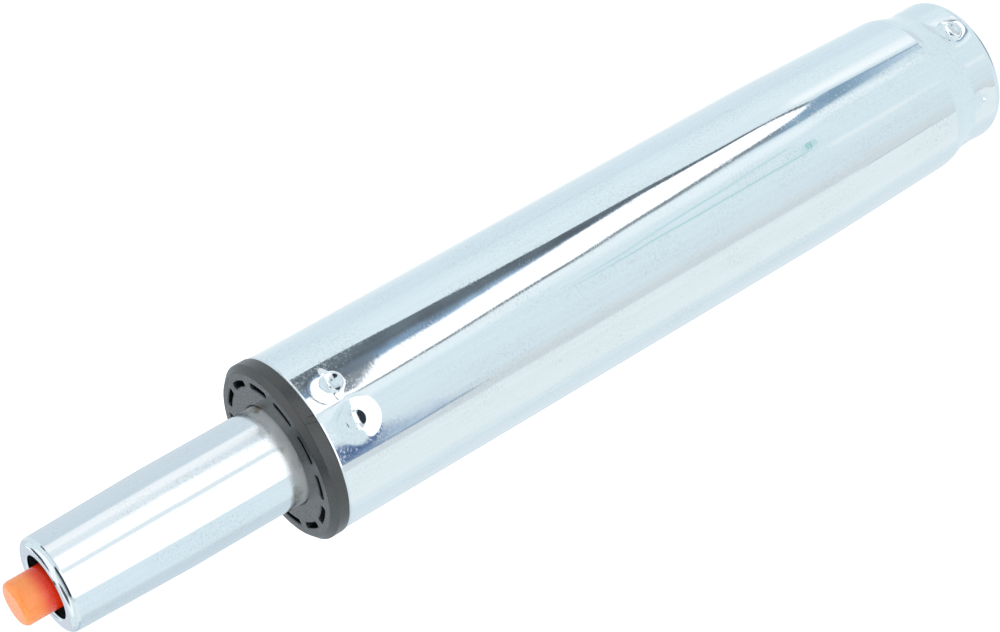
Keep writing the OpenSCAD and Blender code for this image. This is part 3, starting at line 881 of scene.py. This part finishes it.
    def build_collar(self) -> None:
        """Makes the plastic bushing: collar, slots, cored pockets and ribs."""
        corners = [
            (self.bore, self.bushing_bottom, 0.4),
            (self.bushing_radius, self.bushing_bottom, 0.6),
            (self.bushing_radius, self.length, 0.0),
            (self.collar_radius, self.length, 0.2),
            (self.collar_radius, self.length + self.collar_rim, 0.3),
            (self.collar_radius - self.collar_bevel[0], self.face, 0.3),
            (self.bore + self.mouth, self.face, 0.3),
            (self.bore, self.face - self.mouth, 0.3),
        ]
        body = turned("bushing_blank", rounded(corners, steps=5), self.bushing_segments)
        tree, material = cut_tree(), Stock.bushing_plastic.material()
        ring = [(copies_tree(), {"Count": self.slots, "Material": material})]
        slots = shaped("slot_cutters", self.slot_cutter(), ring)
        pockets = shaped("pocket_cutters", self.pocket_cutter(), ring)
        cutters = (pockets, slots, self.seam_cutter())
        steps = [(tree, {"Cutter": cutter, "Material": material}) for cutter in cutters]
        piece = shaped("bushing_collar", body, steps)
        for cutter in cutters:
            bpy.data.objects.remove(cutter)
        seat(piece, Stock.bushing_plastic, "column", "guide_bushing")

    def slot_cutter(self) -> Piece:
        """Makes the cutter of one slot, with round ends and a chamfer at its mouth.

        Returns:
            The cutter.
        """
        half, end = self.slot_width / 2, math.radians(self.slot_angle / 2)
        cap, chamfer = half / self.slot_middle, self.slot_chamfer
        loops = []
        for above, grow in ((-self.deck - 0.5, 0.0), (-chamfer, 0.0), (chamfer, 2 * chamfer)):
            loop = []
            for side in (1, -1):
                for k in range(25):
                    a = side * end * (1 - k / 12)
                    inset = max(0.0, abs(a) - (end - cap)) / cap
                    width = half * math.sqrt(max(0.0, 1 - inset**self.slot_squareness)) + grow
                    loop.append((self.slot_middle + side * width, a, self.face + above))
            loops.append(loop)
        return self.prism("slot_cutter", loops)

    def pocket_cutter(self) -> Piece:
        """Makes the cutter of one cored pocket, between two ribs.

        Returns:
            The cutter.
        """
        loops = []
        for height in (self.bushing_bottom - 1, self.face - self.deck):
            loop = []
            for r, side in ((self.pocket[1], 1), (self.pocket[0], -1)):
                end = math.pi / self.slots - math.asin(self.rib_width / 2 / r)
                loop += [(r, side * end * (1 - k / 6), height) for k in range(13)]
            loops.append(loop)
        return self.prism("pocket_cutter", loops)

    def prism(self, name: str, loops: Sequence[Sequence[Corner]]) -> Piece:
        """Joins stacked loops into a closed cutter, in the middle of a slot's pitch.

        Args:
            name: Name of the cutter.
            loops: Radius, angle in radians and height of each point, from the lowest loop up.

        Returns:
            The cutter.
        """
        middle = math.radians(self.front) + math.pi / self.slots
        shape = bmesh.new()
        rows = [[shape.verts.new(polar(r, middle + a, z)) for r, a, z in loop] for loop in loops]
        for low, high in zip(rows, rows[1:]):
            for i in range(len(low)):
                k = (i + 1) % len(low)
                shape.faces.new((low[i], low[k], high[k], high[i]))
        shape.faces.new(rows[0])
        shape.faces.new(rows[-1])
        bmesh.ops.remove_doubles(shape, verts=shape.verts, dist=TINY * MM)
        bmesh.ops.recalc_face_normals(shape, faces=shape.faces)
        return meshed(name, shape)

    def seam_cutter(self) -> Piece:
        """Makes the cutter of the mould's seam on the collar's rim: a thin bar for each of its lines.

        Returns:
            The cutter.
        """
        shape = bmesh.new()
        lean = Matrix.Rotation(math.radians(self.seam_lean), 4, "Y")
        deep = 0.5
        out = self.collar_radius - self.seam_depth + deep / 2
        for length, rise, turn in self.seams:
            bar = bmesh.ops.create_cube(shape, size=1.0)["verts"]
            size = Matrix.Diagonal((self.seam_width * MM, deep * MM, length * MM, 1.0))
            height = self.length + self.collar_rim / 2 + rise
            place = Matrix.Translation((0, -out * MM, height * MM))
            spin = Matrix.Rotation(math.radians(turn), 4, "Z")
            bmesh.ops.transform(shape, matrix=spin @ place @ lean @ size, verts=bar)
        return meshed("seam_cutter", shape)


@dataclass
class GasSpringAssembly:
    """Plated tube of the gas spring, and the button in its tip."""

    radius: float = 14.0
    wall: float = 1.5
    tip_cone: float = 275.0
    taper: float = 0.025
    tip_rounding: float = 2.0
    tip_opening: float = 8.85
    tail_rounding: float = 2.2
    tail_opening: float = 9.0
    lip_rounding: float = 0.5
    segments: int = 288
    button_radius: float = 6.1
    button_rounding: float = 1.6
    button_segments: int = 160
    pin_radius: float = 1.55
    pin_depth: float = 6.0

    def build(self) -> None:
        """Makes the tube and the button."""
        self.build_tube()
        self.build_button()

    def build_tube(self) -> None:
        """Makes the tube, turned in at both ends."""
        bottom, tip = (end.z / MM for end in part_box("spring_tube"))
        tip_radius = self.radius - (tip - self.tip_cone) * self.taper
        inner, lip = self.radius - self.wall, self.lip_rounding
        corners = [
            (self.tail_opening, bottom, lip),
            (self.radius, bottom, self.tail_rounding),
            (self.radius, self.tip_cone, 0.0),
            (tip_radius, tip, self.tip_rounding),
            (self.tip_opening, tip, lip),
            (self.tip_opening, tip - self.wall, lip),
            (tip_radius - self.wall, tip - self.wall, self.tip_rounding - self.wall + 0.2),
            (inner, self.tip_cone, 0.0),
            (inner, bottom + self.wall, self.tail_rounding - self.wall),
            (self.tail_opening, bottom + self.wall, lip),
        ]
        tube = turned("plated_tube", rounded(corners, steps=8), self.segments)
        seat(tube, Stock.tube_chrome, "gas_spring", "spring_tube")

    def build_button(self) -> None:
        """Makes the release button, with its rounded front edge and the socket of its pin."""
        foot, front = (end.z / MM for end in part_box("release_button"))
        corners = [
            (0.0, front, 0.0),
            (0.0, foot + self.pin_depth, 0.0),
            (self.pin_radius, foot + self.pin_depth, 0.0),
            (self.pin_radius, foot, 0.3),
            (self.button_radius, foot, 0.5),
            (self.button_radius, front, self.button_rounding),
        ]
        button = turned("push_button", rounded(corners, steps=10), self.button_segments)
        # The tip round it stays a clean pale ring, without the button's image
        button.visible_glossy = False
        seat(button, Stock.button_plastic, "button", "release_button")


@dataclass
class BearingAssembly:
    """Row of balls of the thrust bearing in the foot."""

    balls: int = 10
    circle: float = 9.6
    ball_radius: float = 2.38
    # Faces round a ball, and from its foot to its top
    segments: int = 32
    rings: int = 20

    def build(self) -> None:
        """Makes the balls that go round with the cage."""
        low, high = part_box("bearing_balls")
        angles = [math.pi * k / self.rings for k in range(self.rings + 1)]
        section = [(self.ball_radius * math.sin(a), -self.ball_radius * math.cos(a)) for a in angles]
        ball = turned("ball", section, self.segments)
        ball.data.transform(Matrix.Translation((self.circle * MM, 0, (low.z + high.z) / 2)))
        sizes = {"Count": self.balls, "Material": Stock.bearing_steel.material()}
        piece = shaped("ball_row", ball, [(copies_tree(), sizes)])
        seat(piece, Stock.bearing_steel, "bearing_cage", "bearing_balls")


@dataclass
class InnerPieces:
    """CAD nodes that keep their shape and only get their finish."""

    rebuilt: tuple[str, ...] = (
        "outer_column",
        "guide_bushing",
        "spring_tube",
        "release_button",
        "bearing_balls",
    )

    def build(self) -> None:
        """Dresses each kept node in the finish of its slot."""
        slots = {part["node"]: part["material_slot"] for part in frame["record"]["subparts"]}
        for name, node in frame["nodes"].items():
            if name in self.rebuilt:
                continue
            for place in node.material_slots:
                place.material = Stock[slots[name]].material()
            LOG.info("%s: CAD shape, %s", name, slots[name])


# Studio


@dataclass(frozen=True)
class Room:
    """The world's tree, and the place on the upright chrome that mirrors a direction."""

    tree: Tree
    # Angle round the column in degrees and height on it in millimetres, as one vector and as two numbers
    spot: Node
    angle: Node
    height: Node

    def brushed(self, scale: Point, low: float, high: float) -> Node:
        """Gives noise between two values.

        Args:
            scale: Blots in a degree and in a millimetre.
            low: Lowest value.
            high: Highest value.

        Returns:
            The noise.
        """
        drawn = add(self.tree, MAPPING, {"Vector": self.spot, "Scale": (*scale, 1.0)})
        noise = add(self.tree, NOISE, {"Vector": drawn, "Scale": 1.0, "Detail": 4.0, "Roughness": 0.62})
        return add(self.tree, RANGE, [noise, FAINT, STRONG, low, high])


@dataclass(frozen=True)
class Card:
    """Card or flag of the studio, placed by where the upright chrome mirrors it.

    Angles run round the column from its middle as the camera sees it, and heights run up the column.
    """

    colour: str
    low: float
    high: float
    # Left and right edge at the card's foot, then at its top where they differ
    edges: tuple[float, ...]
    blur: Point
    fade: Point
    gain: float = 1.0
    share: float = 1.0
    # How far brushed strokes reach over the left and right edges, and the colour of patches in the cloth
    brush: Point = (0.0, 0.0)
    cloth: str = ""

    def over(self, room: Room, beneath: object) -> Node:
        """Lays the card over what is mirrored so far.

        Args:
            room: The world's tree and its coordinates.
            beneath: Colour without the card.

        Returns:
            Colour with the card.
        """
        tree, colour = room.tree, linear(self.colour, self.gain)
        mask = add(tree, MATH, [self.inside(room, 0), self.inside(room, 1)], operation="MULTIPLY")
        ends = ((self.low, self.fade[0] / 2, 0.0, 1.0), (self.high, self.fade[1] / 2, self.share, 0.0))
        ramps = [[room.height, end - half, end + half, start, stop] for end, half, start, stop in ends]
        for ramp in [add(tree, RANGE, ramp, interpolation_type="SMOOTHSTEP") for ramp in ramps]:
            mask = add(tree, MATH, [mask, ramp], operation="MULTIPLY")
        if self.cloth:
            part = add(tree, "ShaderNodeClamp", [room.brushed((0.13, 0.11), -0.6, 1.6)])
            colour = add(tree, MIX, [part, colour, linear(self.cloth, self.gain)], data_type="RGBA")
        return add(tree, MIX, [mask, beneath, colour], data_type="RGBA")

    def inside(self, room: Room, side: int) -> Node:
        """Masks what lies outside one of the card's long edges.

        Args:
            room: The world's tree and its coordinates.
            side: 0 for the left edge and 1 for the right.

        Returns:
            Mask that is 1 on the card's side of the edge.
        """
        foot, top = self.edges[side], self.edges[side - 2]
        edge = add(room.tree, RANGE, [room.height, self.low, self.high, foot, top])
        reach, half = self.brush[side], self.blur[side] / 2
        if reach:
            edge = add(room.tree, MATH, [edge, room.brushed((0.1, 0.4), -reach, reach)], operation="ADD")
        gap = add(room.tree, MATH, [edge, room.angle] if side else [room.angle, edge], operation="SUBTRACT")
        return add(room.tree, RANGE, [gap, -half, half], interpolation_type="SMOOTHSTEP")


@dataclass
class PhotoCamera:
    """Camera at the photograph's viewing angle, set by what it makes of the upright column."""

    focal_px: float = 2600.0
    frame_px: float = 1000.0
    sensor: float = 36.0
    # Where the column's axis passes the collar, right of, below and ahead of the lens
    collar_height: float = 240.0
    right: float = -55.97
    down: float = 34.83
    ahead: float = 664.0
    stands_at: float = -98.0
    lean: float = 25.28
    roll: float = 29.8

    def build(self) -> None:
        """Makes the camera and hands it to the scene."""
        lean, roll, turn = (math.radians(a) for a in (self.lean, self.roll, self.stands_at))
        up = -Vector((math.cos(lean) * math.cos(roll), -math.cos(lean) * math.sin(roll), math.sin(lean)))
        towards = Vector((0, 0, -1)) - up * Vector((0, 0, -1)).dot(up)
        towards.normalize()
        beside = towards.cross(up)
        along_x = towards * math.cos(turn) + beside * math.sin(turn)
        along_y = towards * math.sin(turn) - beside * math.cos(turn)
        centre = Vector((self.right, self.down, self.ahead)) - up * self.collar_height
        axes = Matrix((along_x, along_y, up))
        pose = Matrix((axes.col[0], -axes.col[1], -axes.col[2])).transposed().to_4x4()
        pose.translation = axes @ -centre * MM
        data = bpy.data.cameras.new("photo_camera")
        data.sensor_width = self.sensor
        data.lens = self.focal_px * self.sensor / self.frame_px
        camera = linked("photo_camera", data)
        camera.matrix_world = pose
        bpy.context.scene.camera = camera
        LOG.info("camera: lens %.1f mm, at %s", data.lens, tuple(round(v, 3) for v in pose.translation))


@dataclass(frozen=True)
class Softbox:
    """Area lamp that looks at the middle of the part."""

    name: str
    azimuth: float
    elevation: float
    distance: float
    size: float
    power: float

    def build(self, target: Vector) -> None:
        """Hangs the lamp.

        Args:
            target: Point that it looks at, in metres.
        """
        a, e = math.radians(self.azimuth), math.radians(self.elevation)
        away = Vector((math.cos(e) * math.cos(a), math.cos(e) * math.sin(a), math.sin(e)))
        data = bpy.data.lights.new(self.name, "AREA")
        data.shape = "DISK"
        data.size = self.size
        data.energy = self.power
        lamp = linked(self.name, data)
        lamp.location = target + away * self.distance
        # The chrome mirrors the room's cards, not the lamps themselves
        lamp.visible_glossy = False
        lamp.rotation_mode = "QUATERNION"
        lamp.rotation_quaternion = (-away).to_track_quat("-Z", "Y")


CARDS = (
    # Wide soft steps of the walls round the column
    Card("#f8feff", -60, 700, (-100, -79), (1, 12), (60, 40)),
    Card("#e6f3f9", -60, 700, (-70, -52, -70, -54), (14, 10), (60, 40)),
    Card("#f1fcff", -60, 700, (-48, -30, -48, -34), (12, 3), (60, 40)),
    Card("#e9f3f7", -60, 700, (11, 22), (8, 8), (60, 40)),
    Card("#e3e9ea", -26, 700, (22.5, 29.5), (8, 1.5), (50, 40)),
    Card("#f6fdfd", -30, 700, (30, 56), (1.5, 10), (60, 40)),
    Card("#e9f3f7", -60, 700, (61, 80), (10, 8), (60, 40)),
    Card("#dde8ef", -60, 700, (80, 100), (8, 1), (60, 40)),
    Card("#e3ecf0", -400, -70, (-48, -30), (8, 8), (80, 30)),
    # Dark flag on the left of the white card: a thin edge that opens towards the collar
    Card("#fcffff", -24, 60, (-38, -30, -36, -31), (5, 3), (34, 40), gain=1.12),
    Card("#6d757d", 34, 125, (-28.4, -27.2, -31, -28), (0.6, 1.4), (14, 1)),
    Card("#7f97b0", 125, 190, (-31, -27.8, -33.2, -21), (0.8, 3), (2, 1), brush=(0, 1.5), cloth="#a9c4dc"),
    Card("#7b92ac", 190, 243, (-33.2, -21, -37, -19), (0.8, 3), (1, 2), brush=(0, 1.5), cloth="#a3c0db"),
    Card("#636a71", 125, 182, (-31.1, -28.2, -33.3, -25.5), (0.6, 3), (1, 1), brush=(0, 1.5), cloth="#727e87"),
    Card("#666e75", 182, 243, (-33.3, -25.5, -37, -24.5), (0.6, 5), (1, 2), brush=(0, 2.5), cloth="#76828a"),
    # Blue flag that ends the white card towards the foot
    Card("#c0d6e6", -19, 22, (-28.2, -23.5, -28.3, -19.2), (1.5, 3), (26, 1)),
    Card("#8ba7bd", 2, 22, (-28.2, -20.5, -28.3, -19.2), (1.5, 3), (28, 1)),
    Card("#86a3ba", 22, 88, (-28.3, -19.2, -21.5, -17.2), (1.5, 1.5), (1, 14), cloth="#a3bdd0"),
    Card("#8498ad", -24, 4, (-27.9, -27.1), (0.7, 0.7), (16, 24), share=0.8),
    # White card
    Card("#ffffff", 36, 80, (-26, -26, -28.7, -21), (0.8, 0.8), (1, 1), gain=1.5),
    Card("#ffffff", 80, 125, (-28.7, -21, -28.2, -16.8), (0.8, 0.6), (1, 1), gain=1.5),
    Card("#ffffff", 125, 150, (-28.2, -16.8, -26.2, -13.8), (1, 0.6), (1, 1), gain=1.5),
    Card("#ffffff", 150, 188, (-26.2, -13.8, -21.6, -10), (2.4, 0.6), (1, 1), gain=1.5, brush=(0.8, 0)),
    Card("#ffffff", 188, 243, (-21.6, -10, -19.4, -8.4), (2.4, 0.6), (1, 2), gain=1.5, brush=(1, 0)),
    # Loose tab of the dark flag over the white card
    Card("#7d8790", 214, 222, (-26, -20, -26, -10.4), (4, 1.4), (2, 1)),
    Card("#737c85", 222, 229.5, (-26, -10.2, -26, -11.4), (4, 1.4), (1, 1.5)),
    # Thin dark edge on its right, and the pale gleam beside it
    Card("#f6feff", -20, 100, (-18.6, -15, -15.4, -9), (2, 4), (24, 1), gain=1.06),
    Card("#f6feff", 100, 240, (-15.4, -9, -7.8, -2), (2, 4), (1, 6), gain=1.06),
    Card("#8f969b", 74, 150, (-21.6, -19.2, -14, -12.2), (0.6, 1.6), (8, 1)),
    Card("#8f969b", 150, 226, (-14, -12.2, -8.6, -7.6), (0.6, 1.2), (1, 30)),
    # Blue flag low on the right of the collar, and the pale and grey lines beside it
    Card("#9fb8d3", 198, 240, (23, 25.3, 13, 25.3), (6, 0.8), (10, 4), share=0.9, brush=(5, 0), cloth="#d5e4ef"),
    Card("#52678f", 224, 243, (15, 25.3, 12.5, 25.3), (2.5, 0.8), (12, 2), brush=(3, 0), cloth="#7d97bd"),
    Card("#8ea0b3", 194, 240, (24.2, 25.3), (0.8, 0.8), (6, 4), share=0.7),
    Card("#a9b2b9", -18, 24, (29.7, 30.3), (0.5, 0.5), (20, 10), share=0.7),
    Card("#f7feff", -18, 40, (3.4, 6.6), (2, 2), (24, 14)),
    # Turquoise threads
    Card("#74cfc9", 64, 150, (0.9, 1.6), (0.9, 0.9), (3, 40), share=0.6, brush=(0.3, 0.3)),
    Card("#74cfc9", 76, 148, (-7.6, -6.8, -1.4, -0.6), (0.9, 0.9), (10, 20), share=0.5, brush=(0.3, 0.3)),
    Card("#5cc4bd", 58, 66, (-4.2, -0.2, -3.4, 0.8), (1, 1), (3, 3), share=0.9),
    # The same room as the thin tube mirrors it
    Card("#cfdde5", 243, 356, (-100, -42), (10, 8), (2, 8)),
    Card("#dfe9ef", 243, 356, (-80, -42), (8, 8), (2, 8)),
    Card("#ffffff", 243, 356, (-41, -8), (4, 1.5), (2, 8), gain=1.1),
    Card("#f7fdff", 243, 356, (-31, -23), (2, 4), (2, 8)),
    Card("#ffffff", 243, 356, (-22, -8.2), (5, 1.5), (2, 8), gain=1.4),
    Card("#f4fbfd", 243, 356, (-7.6, -3.6), (1.5, 1.5), (2, 8)),
    Card("#ffffff", 243, 356, (-3, 25.6), (1.2, 2), (2, 8), gain=1.8),
    Card("#ecf8fd", 243, 356, (26, 50), (2, 8), (2, 8)),
    Card("#dae6ed", 243, 356, (52, 100), (10, 1), (2, 8)),
    # Level with the eye: pale steps between white cards
    Card("#dbe4ea", 362, 520, (-44, -11), (3, 3), (12, 40)),
    Card("#ffffff", 360, 520, (-8, 24), (3, 3), (8, 20), gain=1.4),
    Card("#c9d6e2", 372, 520, (58, 100), (6, 3), (12, 20)),
    Card("#4d545b", 380, 480, (-45, -36), (2, 3), (10, 20)),
    Card("#c3ced8", 372, 520, (-100, -80), (3, 2), (12, 20)),
    # Grey boom and dark cloth high in front, and dim corners far behind
    Card("#b0b8c0", 700, 1300, (-15, 27, -13, 27), (3, 3), (200, 500)),
    Card("#343a40", 560, 900, (-15, 23), (3, 3), (20, 40)),
    Card("#dfe4ec", 540, 680, (70, 100), (10, 1), (30, 8)),
    Card("#dfe4ec", 540, 680, (-100, -70), (1, 10), (30, 8)),
    Card("#e9f4fd", 676, 800, (-100, -86.5), (1, 3), (8, 60), gain=4.0),
    # Pale ceiling with its dark edges
    Card("#ffffff", 1000, 90000, (-100, -13), (1, 4), (200, 1), gain=1.15),
    Card("#ffffff", 1000, 90000, (27, 100), (4, 1), (200, 1), gain=1.15),
    Card("#eef3f6", 1300, 90000, (-14, 28), (4, 4), (400, 1)),
    Card("#5a6168", 1450, 6000, (30, 84, 20, 84), (8, 3), (400, 2000)),
    Card("#474e55", 690, 930, (-89.7, -88.2, -88.4, -76), (0.5, 3), (60, 1)),
    Card("#474e55", 930, 1400, (-88.4, -76, -83, -70), (1, 6), (1, 200)),
    # Straight down: the dim gap under the part
    Card("#8d9398", -90000, -2100, (-100, 100), (1, 1), (1, 600)),
)


@dataclass
class Studio:
    """White floor, soft lamps, and the room that the chrome mirrors."""

    floor_size: float = 12.0
    floor_glow: float = 0.86
    ambient: float = 0.55
    lamps: tuple[Softbox, ...] = (
        Softbox("key", -150.0, 52.0, 1.2, 0.8, 9.0),
        Softbox("fill", -35.0, 14.0, 1.3, 0.9, 6.0),
        Softbox("back", 86.0, 30.0, 1.2, 0.9, 5.0),
    )
    # Height of the camera above the foot and its distance from the column's wall, which turn the
    # slope of a mirrored ray into the height on the column where the photograph shows it
    eye: Point = (463.9, 603.6)
    stands_at: float = -98.0
    walls: str = "#ebf7fb"
    cards: tuple[Card, ...] = CARDS
    # How far the cards' edges waver, in degrees, and how far the walls' faint uprights dim and lift them
    waver: float = 0.7
    uprights: Point = (0.965, 1.035)
    # Tooth of the paper on the floor
    tooth_mm: float = 0.8
    tooth_depth_mm: float = 0.01
    tooth_strength: float = 0.3

    def build(self) -> None:
        """Makes the world, the floor and the lamps."""
        self.build_world()
        self.build_floor()
        low, high = CAD_BOX
        for lamp in self.lamps:
            lamp.build((low + high) / 2)

    def build_world(self) -> None:
        """Makes the world: white to the camera, soft light for the pieces, cards for the chrome."""
        world = bpy.data.worlds.new("studio")
        bpy.context.scene.world = world
        tree = cleared(world)
        seen = add(tree, "ShaderNodeBackground", [linear("#ffffff"), 1.0])
        soft = add(tree, "ShaderNodeBackground", [linear("#f3f8ff"), self.ambient])
        way = add(tree, "ShaderNodeTexCoord").outputs["Generated"]
        turned_way = {"Vector": way, "Angle": -math.radians(self.stands_at)}
        facing = add(tree, "ShaderNodeVectorRotate", turned_way, rotation_type="Z_AXIS")
        x, y, z = add(tree, "ShaderNodeSeparateXYZ", [facing]).outputs
        spin = add(tree, MATH, [y, x], operation="ARCTAN2")
        # A ray mirrored by an upright wall turns by twice the wall's angle
        angle = add(tree, MATH, [spin, -math.degrees(0.5)], operation="MULTIPLY")
        level = add(tree, "ShaderNodeVectorMath", [facing, (1, 1, 0)], operation="MULTIPLY")
        reach = add(tree, "ShaderNodeVectorMath", [level], operation="LENGTH")
        slope = add(tree, MATH, [z, reach], operation="DIVIDE")
        height = add(tree, MATH, [slope, self.eye[1], self.eye[0]], operation="MULTIPLY_ADD")
        # Edges that were cut and hung by hand, never quite straight
        spot = add(tree, "ShaderNodeCombineXYZ", {"X": angle, "Y": height})
        drift = add(tree, MAPPING, {"Vector": spot, "Scale": (0.05, 0.03, 1.0)})
        sway = add(tree, NOISE, {"Vector": drift, "Scale": 1.0, "Detail": 2.0})
        shift = add(tree, RANGE, [sway, 0.2, 0.8, -self.waver, self.waver])
        bent = add(tree, MATH, [angle, shift], operation="ADD")
        room = Room(tree, spot, bent, height)
        mirrored = linear(self.walls)
        for card in self.cards:
            mirrored = card.over(room, mirrored)
        thin = add(tree, MAPPING, {"Vector": spot, "Scale": (0.35, 0.004, 1.0)})
        upright = add(tree, NOISE, {"Vector": thin, "Scale": 1.0, "Detail": 3.0})
        power = add(tree, RANGE, [upright, 0.25, 0.75, *self.uprights])
        cards = add(tree, "ShaderNodeBackground", [mirrored, power])
        rays = add(tree, "ShaderNodeLightPath").outputs
        glossy = add(tree, "ShaderNodeMixShader", [rays["Is Glossy Ray"], soft, cards])
        direct = add(tree, MATH, [rays["Is Camera Ray"], rays["Is Transmission Ray"]], operation="MAXIMUM")
        full = add(tree, "ShaderNodeMixShader", [direct, glossy, seen])
        add(tree, "ShaderNodeOutputWorld", [full])

    def build_floor(self) -> None:
        """Makes the pale floor: white to the camera with the part's shadow on it, clear from below."""
        half = self.floor_size / 2
        corners = [(-half, -half, 0), (half, -half, 0), (half, half, 0), (-half, half, 0)]
        mesh = bpy.data.meshes.new("floor")
        mesh.from_pydata(corners, [], [(0, 1, 2, 3)])
        floor = linked("floor", mesh)
        material = bpy.data.materials.new("white_paper_floor")
        tree = cleared(material)
        where = add(tree, "ShaderNodeTexCoord").outputs["Object"]
        tooth = grain(tree, where, self.tooth_mm)
        depth, strength = self.tooth_depth_mm * MM, self.tooth_strength
        bump = add(tree, BUMP, {"Height": tooth, "Distance": depth, "Strength": strength})
        paper = add(tree, "ShaderNodeBsdfDiffuse", {"Color": linear("#ededed"), "Normal": bump})
        dim = add(tree, "ShaderNodeBsdfDiffuse", [linear("#a8a8a8")])
        glow = add(tree, "ShaderNodeEmission", [linear("#ffffff"), self.floor_glow])
        lit = add(tree, "ShaderNodeAddShader", [glow, dim])
        rays = add(tree, "ShaderNodeLightPath").outputs
        above = add(tree, "ShaderNodeMixShader", [rays["Is Camera Ray"], paper, lit])
        clear = add(tree, "ShaderNodeBsdfTransparent")
        below = add(tree, "ShaderNodeNewGeometry").outputs["Backfacing"]
        full = add(tree, "ShaderNodeMixShader", [below, above, clear])
        add(tree, "ShaderNodeOutputMaterial", [full])
        mesh.materials.append(material)
        # The chrome mirrors the room's cards instead of the paper it stands on
        floor.visible_glossy = False


def main() -> None:
    """Builds the camera and the part's pieces, then the studio round them."""
    logging.basicConfig(level=logging.INFO, format="%(name)s: %(message)s")
    bpy.context.scene.view_settings.view_transform = "Standard"
    PhotoCamera().build()
    for assembly in (ColumnAssembly, GasSpringAssembly, BearingAssembly, InnerPieces):
        assembly().build()
    Studio().build()


if __name__ == "__main__":
    main()
